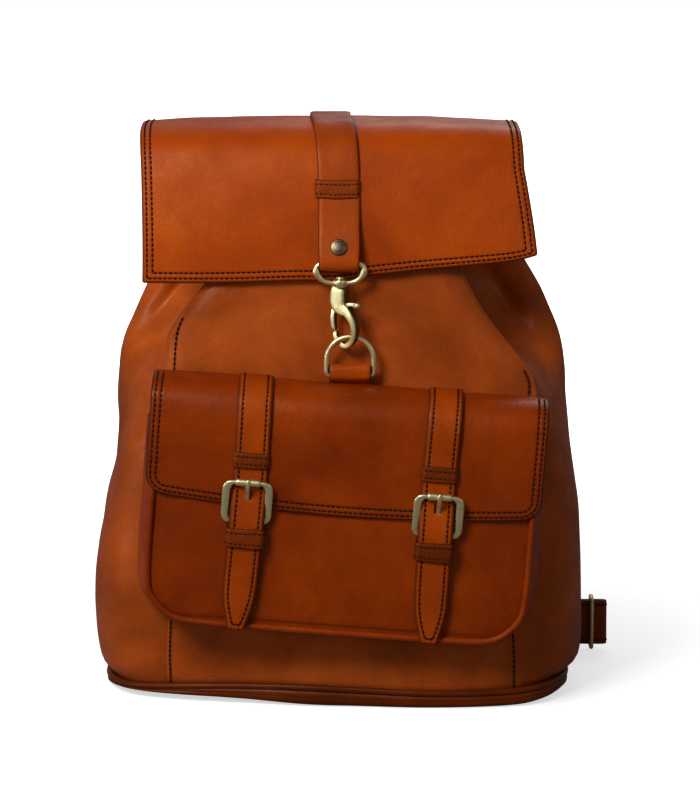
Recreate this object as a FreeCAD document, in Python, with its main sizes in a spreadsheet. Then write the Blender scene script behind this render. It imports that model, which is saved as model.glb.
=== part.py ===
import FreeCAD, Part
import math
import os

import Sketcher
from FreeCAD import Placement, Rotation, Vector

# A leather backpack. Millimetres, +X to the right as seen from the front, -Y towards the
# front, +Z up. The origin is on the ground under the middle of the base.

DIMENSIONS = {
    # leather
    "hide": 2.2, "gap": 0.3, "cloth": 0.8,
    # the bag's outline at four heights: half widths and depths
    "foot_height": 2.7, "foot_front_half": 112, "foot_front": -68,
    "foot_side": 158, "foot_side_front": -38, "foot_side_back": 34,
    "foot_back_half": 140, "foot_back": 62,
    "belly_height": 110, "belly_front_half": 111, "belly_front": -69,
    "belly_side": 160, "belly_side_front": -36, "belly_side_back": 34,
    "belly_back_half": 140, "belly_back": 62,
    "waist_height": 225, "waist_front_half": 106, "waist_front": -64,
    "waist_side": 146, "waist_side_front": -32, "waist_side_back": 30,
    "waist_back_half": 128, "waist_back": 56,
    "mouth_height": 352, "mouth_front_half": 86, "mouth_front": -52,
    "mouth_side": 108, "mouth_side_front": -20, "mouth_side_back": 20, "mouth_back_half": 104, "mouth_back": 44,
    "base_thick": 2.4, "board_thick": 2.2, "piping": 3.0,
    # main flap and its closure
    "flap_width": 250, "flap_leather": 2.0, "strap_width": 25, "strap_thick": 2.2,
    "closure_x": 0.8, "closure_bar_y": -72.2, "closure_bar_z": 292, "eye_wire": 2.0, "eye_half": 15,
    "swivel_x": 1.6, "hook_yaw": -33, "hook_wire": 1.7, "bow_radius": 7.2, "bow_mid": 4.0, "bow_height": 247,
    "pin_u": -0.4, "pin_height": 265.6, "pin_radius": 1.0, "hook_depth": 8.0, "gate_thick": 2.6,
    "ring_wire": 1.5, "ring_half": 15, "ring_bar_height": 220.8, "ring_rise": 25, "ring_x": 8.0,
    "tab_width": 25,
    # front pocket, in its own upright frame
    "pocket_x": 3, "pocket_z": 140, "pocket_tilt": 4.4,
    "pocket_half": 121, "pocket_low": -80, "pocket_high": 46, "pocket_corner": 28, "pocket_front": -103.5,
    "pocket_back": -70.6, "pocket_flare": 8, "pocket_hide": 2.0, "pocket_mouth": 58,
    "pocket_flap_half": 125, "pocket_flap_low": -3, "margin_end": -82.3, "pocket_hinge": -84,
    # buckles
    "buckle_x": 60.5, "pocket_strap_width": 20, "pocket_strap_thick": 2.4,
    "bar_y": -109, "bar_z": -11.5, "bar_radius": 1.3, "top_bar_y": -114.3, "top_bar_z": 14.8,
    "frame_half": 16, "frame_window": 11, "frame_thick": 2.6, "roller_radius": 2.4, "roller_half": 7.7,
    # back
    "shoulder_width": 44, "shoulder_thick": 6, "lower_strap_width": 30,
    "left_strap_low": 12, "right_strap_low": 4.5, "left_strap_turn": 150, "right_strap_turn": 183,
    "adjuster_wire": 1.5,
}

doc = FreeCAD.newDocument("backpack")
sheet = doc.addObject("Spreadsheet::Sheet", "sheet")
for row, (alias, value) in enumerate(DIMENSIONS.items(), start=1):
    sheet.set(f"A{row}", alias)
    sheet.set(f"B{row}", str(value))
    sheet.setAlias(f"B{row}", alias)
doc.recompute()


class Size:
    """A number that keeps the sheet formula it was worked out from."""

    def __init__(self, value, formula):
        self.value = float(value)
        self.formula = formula

    def __add__(self, other):
        other = as_size(other)
        return Size(self.value + other.value, f"({self.formula} + {other.formula})")

    def __sub__(self, other):
        other = as_size(other)
        return Size(self.value - other.value, f"({self.formula} - {other.formula})")

    def __mul__(self, factor):
        return Size(self.value * factor, f"({self.formula} * {factor})")

    def __truediv__(self, divisor):
        return Size(self.value / divisor, f"({self.formula} / {divisor})")

    def __neg__(self):
        return Size(-self.value, f"(0 - {self.formula})")

    def __radd__(self, other):
        return as_size(other) + self

    def __rsub__(self, other):
        return as_size(other) - self


def as_size(number):
    return number if isinstance(number, Size) else Size(number, f"({number})")


def dim(alias):
    return Size(DIMENSIONS[alias], f"sheet.{alias}")


def plain(number):
    return number.value if isinstance(number, Size) else float(number)


PARTS = {}


def keep(label, thing, placement=None):
    """Names a finished sub-part and puts it in its place."""
    thing.Label = label
    if placement is not None:
        thing.Placement = placement
    PARTS[label] = thing
    return thing


def bind(thing, path, number):
    """Sets one property from the sheet."""
    if isinstance(number, Size):
        thing.setExpression(path, number.formula)


# ---------------------------------------------------------------- sketches and PartDesign bodies

def new_body(name):
    return doc.addObject("PartDesign::Body", name + "_body")


def new_sketch(body, plane, offset):
    """A sketch on one of the body's own origin planes, moved along that plane's normal."""
    sketch = body.newObject("Sketcher::SketchObject", body.Name + "_sketch")
    role = plane + "_Plane"
    origin_plane = [f for f in body.Origin.OriginFeatures if f.Role == role][0]
    sketch.AttachmentSupport = [(origin_plane, "")]
    sketch.MapMode = "FlatFace"
    sketch.AttachmentOffset = Placement(Vector(0, 0, plain(offset)), Rotation())
    bind(sketch, ".AttachmentOffset.Base.z", offset)
    return sketch


def draw_polygon(sketch, corners):
    """A closed polygon whose corners are each held by two bound distances."""
    first = sketch.GeometryCount
    count = len(corners)
    spots = [Vector(plain(across), plain(up), 0) for across, up in corners]
    for i in range(count):
        sketch.addGeometry(Part.LineSegment(spots[i], spots[(i + 1) % count]), False)
    for i in range(count):
        line = first + i
        after = first + (i + 1) % count
        sketch.addConstraint(Sketcher.Constraint("Coincident", line, 2, after, 1))
    for i, (across, up) in enumerate(corners):
        for kind, number in (("DistanceX", across), ("DistanceY", up)):
            rule = Sketcher.Constraint(kind, -1, 1, first + i, 1, plain(number))
            index = sketch.addConstraint(rule)
            bind(sketch, f"Constraints[{index}]", number)


def draw_round_box(sketch, left, right, low, high, low_radius, high_radius):
    """A rectangle whose lower and upper corners are rounded."""
    x0, x1, z0, z1 = plain(left), plain(right), plain(low), plain(high)
    a, b = plain(low_radius), plain(high_radius)
    first = sketch.GeometryCount
    lines = [((x0 + a, z0), (x1 - a, z0)), ((x1, z0 + a), (x1, z1 - b)),
             ((x1 - b, z1), (x0 + b, z1)), ((x0, z1 - b), (x0, z0 + a))]
    for start, end in lines:
        sketch.addGeometry(Part.LineSegment(Vector(*start, 0), Vector(*end, 0)), False)
    corners = [(x1 - a, z0 + a, a, -90), (x1 - b, z1 - b, b, 0),
               (x0 + b, z1 - b, b, 90), (x0 + a, z0 + a, a, 180)]
    for cx, cz, radius, start in corners:
        circle = Part.Circle(Vector(cx, cz, 0), Vector(0, 0, 1), radius)
        arc = Part.ArcOfCircle(circle, math.radians(start), math.radians(start + 90))
        sketch.addGeometry(arc, False)
    for i in range(4):
        arc = first + 4 + i
        sketch.addConstraint(Sketcher.Constraint("Tangent", first + i, 2, arc, 1))
        sketch.addConstraint(Sketcher.Constraint("Tangent", arc, 2, first + (i + 1) % 4, 1))
    for i, kind in enumerate(("Horizontal", "Vertical", "Horizontal", "Vertical")):
        sketch.addConstraint(Sketcher.Constraint(kind, first + i))
    for kind, line, number in (("DistanceY", 0, low), ("DistanceX", 1, right),
                               ("DistanceY", 2, high), ("DistanceX", 3, left)):
        rule = Sketcher.Constraint(kind, -1, 1, first + line, 1, plain(number))
        index = sketch.addConstraint(rule)
        bind(sketch, f"Constraints[{index}]", number)
    for arc, number in ((4, low_radius), (5, high_radius), (6, high_radius), (7, low_radius)):
        index = sketch.addConstraint(Sketcher.Constraint("Radius", first + arc, plain(number)))
        bind(sketch, f"Constraints[{index}]", number)


def pad(body, sketch, depth, middle=False, backwards=False):
    """A pad along the sketch's normal, or to both sides of it."""
    feature = body.newObject("PartDesign::Pad", body.Name + "_pad")
    feature.Profile = sketch
    feature.Length = plain(depth)
    bind(feature, "Length", depth)
    feature.Midplane = middle
    feature.Reversed = backwards
    body.Tip = feature
    return feature


def plate(label, plane, corners, depth, offset=0, middle=False, backwards=False, placement=None):
    """A flat outline padded to a thickness."""
    body = new_body(label)
    sketch = new_sketch(body, plane, offset)
    draw_polygon(sketch, corners)
    pad(body, sketch, depth, middle, backwards)
    return keep(label, body, placement)


def profile(label, corners, width, placement=None):
    """A side profile in the YZ plane, padded equally to both sides along X."""
    return plate(label, "YZ", corners, width, 0, True, False, placement)


def add_loft(body, plane, sections, kind):
    """A ruled loft through polygons that stand at their own offsets."""
    sketches = []
    for offset, corners in sections:
        sketch = new_sketch(body, plane, offset)
        draw_polygon(sketch, corners)
        sketches.append(sketch)
    feature = body.newObject("PartDesign::" + kind, body.Name + "_loft")
    feature.Profile = sketches[0]
    feature.Sections = sketches[1:]
    feature.Ruled = True
    body.Tip = feature


def loft(label, plane, sections, hollow=None, placement=None):
    body = new_body(label)
    add_loft(body, plane, sections, "AdditiveLoft")
    if hollow:
        add_loft(body, plane, hollow, "SubtractiveLoft")
    return keep(label, body, placement)


# ---------------------------------------------------------------- Part primitives

def place(thing, x, y, z, rotation=None):
    thing.Placement = Placement(Vector(plain(x), plain(y), plain(z)), rotation or Rotation())
    for axis, number in (("x", x), ("y", y), ("z", z)):
        bind(thing, ".Placement.Base." + axis, number)
    return thing


def box(x, y, z, length, width, height, rotation=None):
    """A box from its lowest corner."""
    thing = doc.addObject("Part::Box", "box")
    for name, number in (("Length", length), ("Width", width), ("Height", height)):
        setattr(thing, name, plain(number))
        bind(thing, name, number)
    return place(thing, x, y, z, rotation)


def rod(start, end, radius):
    """A round bar between two points."""
    a = Vector(*[plain(number) for number in start])
    b = Vector(*[plain(number) for number in end])
    thing = doc.addObject("Part::Cylinder", "rod")
    thing.Radius = plain(radius)
    bind(thing, "Radius", radius)
    thing.Height = (b - a).Length
    return place(thing, *start, Rotation(Vector(0, 0, 1), b - a))


def ball(spot, radius):
    thing = doc.addObject("Part::Sphere", "ball")
    thing.Radius = plain(radius)
    bind(thing, "Radius", radius)
    return place(thing, *spot)


def half_ring(spot, ring_radius, wire_radius, rotation):
    """Half a torus, its opening down before it is turned."""
    thing = doc.addObject("Part::Torus", "half_ring")
    thing.Radius1 = plain(ring_radius)
    bind(thing, "Radius1", ring_radius)
    thing.Radius2 = plain(wire_radius)
    bind(thing, "Radius2", wire_radius)
    thing.Angle3 = 180
    return place(thing, *spot, rotation)


def fuse(things):
    joined = doc.addObject("Part::MultiFuse", "fuse")
    joined.Shapes = things
    return joined


def cut(base, tools):
    for tool in tools:
        difference = doc.addObject("Part::Cut", "cut")
        difference.Base = base
        difference.Tool = tool
        base = difference
    return base


def bent_rod(spots, radius, closed=False):
    """Straight bars with a ball at each joint between them."""
    count = len(spots)
    bars = [rod(spots[i], spots[i + 1], radius) for i in range(count - 1)]
    if closed:
        bars.append(rod(spots[-1], spots[0], radius))
    joints = spots if closed else spots[1:-1]
    return bars + [ball(spot, radius) for spot in joints]


# ---------------------------------------------------------------- bent leather, from its side path

def offset_path(path, distance):
    """The path moved sideways to its left, mitred at its corners."""
    moved = []
    for i, here in enumerate(path):
        before = path[max(i - 1, 0)]
        after = path[min(i + 1, len(path) - 1)]
        steps = []
        for a, b in ((before, here), (here, after)):
            run = math.hypot(b[0] - a[0], b[1] - a[1])
            if run > 0:
                steps.append((-(b[1] - a[1]) / run, (b[0] - a[0]) / run))
        nx = sum(step[0] for step in steps)
        nz = sum(step[1] for step in steps)
        size = math.hypot(nx, nz)
        nx, nz = nx / size, nz / size
        lean = nx * steps[0][0] + nz * steps[0][1]
        moved.append((here[0] + nx * distance / lean, here[1] + nz * distance / lean))
    return moved


def bent_strip(path, near, far, width, x_mid=0.0, across="X"):
    """A strip that follows a path, between two offsets of it. The path is (y, z), or (x, y) when the
    strip stands on edge."""
    outline = offset_path(path, near) + offset_path(path, far)[::-1]
    half = width / 2
    if across == "X":
        points = [Vector(x_mid - half, a, b) for a, b in outline]
        sweep = Vector(width, 0, 0)
    else:
        points = [Vector(a, b, x_mid - half) for a, b in outline]
        sweep = Vector(0, 0, width)
    face = Part.Face(Part.makePolygon(points + points[:1]))
    feature = doc.addObject("Part::Feature", "bent_strip")
    feature.Shape = face.extrude(sweep)
    return feature


def extruded_profile(outline, half):
    """A closed (y, z) outline, extruded equally to both sides along X."""
    points = [Vector(-half, y, z) for y, z in outline]
    feature = doc.addObject("Part::Feature", "profile")
    feature.Shape = Part.Face(Part.makePolygon(points + points[:1])).extrude(Vector(2 * half, 0, 0))
    return feature


# ---------------------------------------------------------------- the bag

HIDE, GAP = dim("hide"), dim("gap")
LEVELS = ("foot", "belly", "waist", "mouth")


def level(name, part):
    return dim(name + "_" + part)


def gusset_corners(name, side):
    """The folded side panel's strip at one height, from the front seam round to the back seam."""
    front, back = level(name, "front"), level(name, "back")
    outer = [(level(name, "front_half") + GAP, front),
             (level(name, "side"), level(name, "side_front")),
             (level(name, "side"), level(name, "side_back")),
             (level(name, "back_half") + GAP, back)]
    inner = [(level(name, "back_half") + GAP, back - HIDE * 1.15),
             (level(name, "side") - HIDE, level(name, "side_back") - HIDE * 0.4),
             (level(name, "side") - HIDE, level(name, "side_front") + HIDE * 0.4),
             (level(name, "front_half") + GAP, front + HIDE * 1.15)]
    corners = outer + inner
    if side > 0:
        return corners
    return [(-x, y) for x, y in corners[::-1]]


def bag_outline(name, inset, side_inset):
    """The whole bag's eight-sided outline at one height, moved inwards."""
    right = [(level(name, "front_half"), level(name, "front") + inset),
             (level(name, "side") - side_inset, level(name, "side_front") + side_inset * 0.6),
             (level(name, "side") - side_inset, level(name, "side_back") - side_inset * 0.6),
             (level(name, "back_half"), level(name, "back") - inset)]
    return right + [(-x, y) for x, y in right[::-1]]


def build_bag():
    for side, name in ((-1, "left_gusset"), (1, "right_gusset")):
        sections = [(level(n, "height"), gusset_corners(n, side)) for n in LEVELS]
        loft(name, "XY", sections)
    for name, part, inwards in (("front_panel", "front", HIDE), ("back_panel", "back", -HIDE)):
        sections = []
        for n in LEVELS:
            half = level(n, part + "_half")
            outer = level(n, part)
            inner = outer + inwards
            corners = [(-half, outer), (half, outer), (half, inner), (-half, inner)]
            sections.append((level(n, "height"), corners))
        loft(name, "XY", sections)
    outline = bag_outline("foot", 0.4, 0.5)
    plate("base_panel", "XY", outline, dim("base_thick"))
    board = bag_outline("foot", 3.2, 6)
    plate("base_board", "XY", board, dim("board_thick"), dim("base_thick") + 0.2)
    floor = dim("base_thick") + dim("board_thick") + 0.5
    outside, inside = [], []
    for n in LEVELS:
        lift = floor if n == "foot" else level(n, "height") - (7 if n == "mouth" else 0)
        outside.append((lift, bag_outline(n, HIDE + 0.6, HIDE * 1.0 + 3)))
        lift = lift + dim("cloth") if n == "foot" else lift
        inside.append((lift, bag_outline(n, HIDE + 0.6 + dim("cloth"), HIDE * 1.0 + 4)))
    loft("lining", "XY", outside, inside)
    body = new_body("base_piping")
    sketch = new_sketch(body, "XY", dim("foot_height") + 0.5)
    draw_polygon(sketch, bag_outline("foot", -GAP - dim("piping"), -GAP - dim("piping")))
    draw_polygon(sketch, bag_outline("foot", -GAP * 2, -GAP * 2))
    pad(body, sketch, 4.0)
    keep("base_piping", body)


# ---------------------------------------------------------------- main flap and closure strap

FLAP_PATH = [(46, 361), (41, 367), (5, 373), (-34, 371), (-51, 358), (-58, 332), (-62.5, 300), (-64.4, 279.5)]
CLOTH, FLAP_HIDE = plain(dim("cloth")), plain(dim("flap_leather"))
FLAP_OUTER = CLOTH + FLAP_HIDE


def rivet_form(x):
    """The domed rivet through the strap, the flap and its lining, square to the strap's sloping face."""
    cap_radius, dome_radius, dome_rise = 5.2, 10.5, 2.1
    shank_radius, shank_long, back_radius, back_thick = 1.6, 13.5, 4.0, 1.5
    cap = rod((0, 0, 0), (0, -1.3, 0), cap_radius)
    dome = doc.addObject("Part::Sphere", "dome")
    dome.Radius = dome_radius
    place(dome, 0, dome_radius - dome_rise, 0)
    disc = rod((0, 0, 0), (0, -3, 0), cap_radius)
    crown = doc.addObject("Part::MultiCommon", "crown")
    crown.Shapes = [dome, disc]
    shank = rod((0, shank_long, 0), (0, 0, 0), shank_radius)
    back_cap = rod((0, shank_long + 1.1, 0), (0, shank_long + 1.1 - back_thick, 0), back_radius)
    rivet = fuse([cap, crown, shank, back_cap])
    strap_slope = -21
    rivet.Placement = Placement(Vector(x, -74.7, 303), Rotation(Vector(1, 0, 0), strap_slope))
    return rivet


def build_main_flap():
    width = plain(dim("flap_width"))
    closure_x = plain(dim("closure_x"))
    leather = bent_strip(FLAP_PATH, -CLOTH, -FLAP_OUTER, width)
    keep("main_flap", cut(leather, [rivet_form(closure_x)]))
    cloth = bent_strip(FLAP_PATH, 0, -CLOTH, width - 8)
    keep("main_flap_lining", cut(cloth, [rivet_form(closure_x)]))
    # the strap lies on the flap and ends in a fold round the bar of the hook's eye
    thick = plain(dim("strap_thick"))
    near = FLAP_OUTER + plain(GAP)
    path = FLAP_PATH[1:7]
    inner = offset_path(path, -near)
    outer = offset_path(path, -near - thick)
    bar_y, bar_z = plain(dim("closure_bar_y")), plain(dim("closure_bar_z"))
    fold = plain(dim("eye_wire")) + 0.1 + thick
    rim = [(bar_y + fold * math.sin(math.radians(a)), bar_z + fold * math.cos(math.radians(a)))
           for a in (120, 150, 180, 210, 240, 270)]
    outline = inner + rim + [(bar_y - fold + 0.6, bar_z + 8)] + outer[::-1][1:]
    half = plain(dim("strap_width")) / 2
    solid = extruded_profile(outline, half)
    bore = rod((-20, dim("closure_bar_y"), dim("closure_bar_z")),
               (20, dim("closure_bar_y"), dim("closure_bar_z")), dim("eye_wire") + 0.08)
    narrowing = 1.3
    sides = [box(x, bar_y - 8, bar_z - 6, narrowing + 1, 16, 11)
             for x in (-half - 1, half - narrowing)]
    closure_place = Placement(Vector(closure_x, 0, 0), Rotation())
    keep("closure_strap", cut(solid, [bore, rivet_form(0)] + sides), closure_place)
    # the keeper crosses the strap where the flap starts to hang
    slope = math.degrees(math.atan2(7, 26))
    lean = Rotation(Vector(1, 0, 0), -slope)
    loop_thick, loop_height = 1.5, 10
    outer_box = box(-14.6, -near - thick - 0.3 - loop_thick, -loop_height / 2, 29.2,
                    thick + 0.3 + loop_thick, loop_height)
    inner_box = box(-12.8, -near - thick - 0.3, -loop_height, 25.6, thick + 1, loop_height * 2)
    keep("closure_keeper", cut(outer_box, [inner_box]), closure_place * Placement(Vector(0, -56.4, 338), lean))
    keep("closure_rivet", rivet_form(closure_x))


# ---------------------------------------------------------------- swivel snap hook and its ring

HOOK_PLACE = Placement(Vector(plain(dim("swivel_x")), plain(dim("closure_bar_y")), 0),
                       Rotation(Vector(0, 0, 1), plain(dim("hook_yaw"))))
EYE_PLACE = Placement(Vector(plain(dim("swivel_x")), plain(dim("closure_bar_y")), 0), Rotation())
BOSS_LOW, BOSS_HIGH = 277.8, 282.4


def build_hook():
    half, bar = dim("eye_half"), dim("closure_bar_z")
    loop = [(-half + 0.8, 0, bar), (half - 0.8, 0, bar), (half, 0, bar - 6.5),
            (half - 4, 0, bar - 11), (0, 0, bar - 12.3), (-half + 4, 0, bar - 11), (-half, 0, bar - 6.5)]
    boss = rod((0, 0, BOSS_LOW), (0, 0, BOSS_HIGH), 4.4)
    eye = fuse(bent_rod(loop, dim("eye_wire"), True) + [boss])
    keep("hook_eye", cut(eye, [rod((0, 0, BOSS_LOW - 3), (0, 0, BOSS_HIGH + 3), 1.96)]), EYE_PLACE)

    head = rod((0, 0, BOSS_HIGH + 0.1), (0, 0, BOSS_HIGH + 1.9), 3.0)
    post = rod((0, 0, BOSS_LOW - 3), (0, 0, BOSS_HIGH + 1), 1.9)
    cheeks_body = new_body("hook_cheeks")
    sketch = new_sketch(cheeks_body, "XZ", 0)
    draw_polygon(sketch, [(-2.6, 277.5), (3.2, 277.5), (4.6, 271), (9.4, 264), (12.6, 257.5), (13.2, 251),
                          (9.4, 251), (9.0, 256), (6.4, 260.8), (2.6, 263.3), (-1, 263.5), (-4, 261.5),
                          (-5.4, 261.5), (-5.7, 271.5)])
    pad(cheeks_body, sketch, dim("hook_depth"), True)
    slot = box(-7, dim("gate_thick") / -2 - 0.3, 259.5, 22, dim("gate_thick") + 0.6, 12.3)
    pin_ends = ((dim("pin_u"), -6, dim("pin_height")), (dim("pin_u"), 6, dim("pin_height")))
    cheeks = cut(cheeks_body, [slot, rod(*pin_ends, dim("pin_radius"))])
    mid, radius, height = dim("bow_mid"), dim("bow_radius"), dim("bow_height")
    bow = half_ring((mid, 0, height), radius, dim("hook_wire"), Rotation(Vector(1, 0, 0), -90))
    arm = rod((mid + radius, 0, height), (mid + radius, 0, height + 6), dim("hook_wire"))
    tip = rod((mid - radius, 0, height), (mid - radius, 0, height + 1.6), dim("hook_wire"))
    keep("hook_body", fuse([head, post, cheeks, bow, arm, tip]), HOOK_PLACE)

    gate_body = new_body("hook_gate_plate")
    sketch = new_sketch(gate_body, "XZ", 0)
    draw_polygon(sketch, [(-3.2, 265.6), (-2.2, 267.6), (-0.4, 268.2), (3, 267.6), (12.4, 267.6), (12.4, 265.4),
                          (3, 264.6), (1.2, 263.2), (-1.6, 260), (-1.7, 249.4), (-4.7, 250.6), (-4.6, 262)])
    pad(gate_body, sketch, dim("gate_thick"), True)
    knob = ball((12.9, 0, 266.5), 2.3)
    gate = cut(fuse([gate_body, knob]), [rod(*pin_ends, dim("pin_radius") + 0.05)])
    keep("hook_gate", gate, HOOK_PLACE)

    u, height = dim("pin_u"), dim("pin_height")
    head_face, head_top, shank_radius, head_radius = 4.05, 4.4, 0.9, 1.3
    pin_half = dim("hook_depth") / 2
    shank = rod((u, -pin_half, height), (u, pin_half, height), dim("pin_radius"))
    core = rod((u, -head_top, height), (u, head_top, height), shank_radius)
    heads = [rod((u, end * head_top, height), (u, end * head_face, height), head_radius) for end in (-1, 1)]
    keep("gate_pin", fuse([shank, core] + heads), HOOK_PLACE)
    coil = cut(rod((2.4, 0, 267.9), (2.4, 0, 271.6), 1.1), [rod((2.4, 0, 267), (2.4, 0, 272), 0.7)])
    keep("gate_spring", coil, HOOK_PLACE)


RING_Y = plain(dim("closure_bar_y")) - plain(dim("bow_mid")) * math.sin(math.radians(-plain(dim("hook_yaw"))))


def build_ring():
    half, low, wire = dim("ring_half"), dim("ring_bar_height"), dim("ring_wire")
    shoulder = low + dim("ring_rise") - half
    arch = half_ring((0, 0, shoulder), half, wire, Rotation(Vector(1, 0, 0), 90))
    bars = bent_rod([(-half, 0, shoulder), (-half, 0, low), (half, 0, low), (half, 0, shoulder)], wire)
    keep("d_ring", fuse([arch] + bars), Placement(Vector(plain(dim("ring_x")), RING_Y, 0), Rotation()))
    low, wire = plain(low), plain(wire)
    fold = wire + 0.05 + 2.3
    rim = [(RING_Y + fold * math.cos(math.radians(a)), low + fold * math.sin(math.radians(a)))
           for a in (30, 60, 90, 120, 150, 180, 210)]
    outline = [(-66.4, 206), (-66.4, 214)] + rim + [(-70.5, 211)]
    solid = extruded_profile(outline, plain(dim("tab_width")) / 2)
    bore = rod((-20, RING_Y, low), (20, RING_Y, low), dim("ring_wire") + 0.05)
    keep("d_ring_tab", cut(solid, [bore]), Placement(Vector(plain(dim("ring_x")), 0, 0), Rotation()))


# ---------------------------------------------------------------- front pocket

POCKET_PLACE = Placement(Vector(plain(dim("pocket_x")), 0, plain(dim("pocket_z"))),
                         Rotation(Vector(0, 1, 0), plain(dim("pocket_tilt"))))


def band_corners(half, low, corner, thick, high):
    """A U-shaped band: both sides and the bottom, with eased corners."""
    def u_path(inset):
        w, b, c = half - inset, low + inset, corner - inset
        right = [(w - c, b), (w - c * 0.3, b + c * 0.3), (w, b + c), (w, as_size(high))]
        return [(-x, z) for x, z in right[::-1]] + right
    return u_path(as_size(0)) + u_path(thick)[::-1]


def build_pocket():
    half, low, high = dim("pocket_half"), dim("pocket_low"), dim("pocket_high")
    corner, hide, front = dim("pocket_corner"), dim("pocket_hide"), dim("pocket_front")
    body = new_body("pocket_front")
    draw = new_sketch(body, "XZ", -front)
    draw_round_box(draw, -half, half, low, high, corner, as_size(4))
    pad(body, draw, hide, False, True)
    keep("pocket_front", body, POCKET_PLACE)

    body = new_body("pocket_piping")
    draw = new_sketch(body, "XZ", -front + 2)
    grow, clear = dim("piping") + 0.2, 0.2
    draw_round_box(draw, -half - grow, half + grow, low - grow, high + grow, corner + grow, 4 + grow)
    draw_round_box(draw, -half - clear, half + clear, low - clear, high + clear, corner + clear, as_size(4 + clear))
    pad(body, draw, 4.0, False, True)
    keep("pocket_piping", body, POCKET_PLACE)

    flare, mouth, back = dim("pocket_flare"), dim("pocket_mouth"), dim("pocket_back")
    near = band_corners(half - 1, low + 1, corner, hide, mouth)
    far = band_corners(half + flare, low - flare, corner + 2, hide, mouth + 6)
    loft("pocket_gusset", "XZ", [(-front - hide - 0.1, near), (-back, far)], None, POCKET_PLACE)

    # the flap's back margin is sewn down and stays put; the rest of the flap turns in front of it
    flap_half, tab_gap = dim("pocket_flap_half"), 15
    tab_x = plain(dim("ring_x")) - plain(dim("pocket_x")) - 5.9
    end = dim("margin_end")
    notch = RING_Y - 6.0
    sewn = -70
    outline = [(-flap_half, end), (flap_half, end), (flap_half, sewn), (tab_x + tab_gap, sewn),
               (tab_x + tab_gap, notch), (tab_x - tab_gap, notch), (tab_x - tab_gap, sewn), (-flap_half, sewn)]
    plate("pocket_flap_margin", "XY", outline, 2.6, 73.2, placement=POCKET_PLACE)

    path = [(plain(dim("pocket_hinge")) - 0.3, 73.2), (-97, 70.5), (-104.4, 62.5), (-105.9, 49),
            (-105.9, plain(dim("pocket_flap_low")))]
    width = plain(flap_half) * 2
    keep("pocket_flap", bent_strip(path, -CLOTH, -2.6, width), POCKET_PLACE)
    keep("pocket_flap_lining", bent_strip(path, 0, -CLOTH, width - 8), POCKET_PLACE)


STRAP_PATH = [(-88.6, 75.2), (-98.2, 73.1), (-107.2, 63.6), (-108.8, 49), (-108.8, 18), (-112.3, -9),
              (-112.3, -14), (-110.2, -30), (-106.3, -60), (-106.3, -81.5)]
SLOT_LOW, SLOT_HIGH, SLOT_HALF = -14.6, 5.0, 2.1


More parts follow.
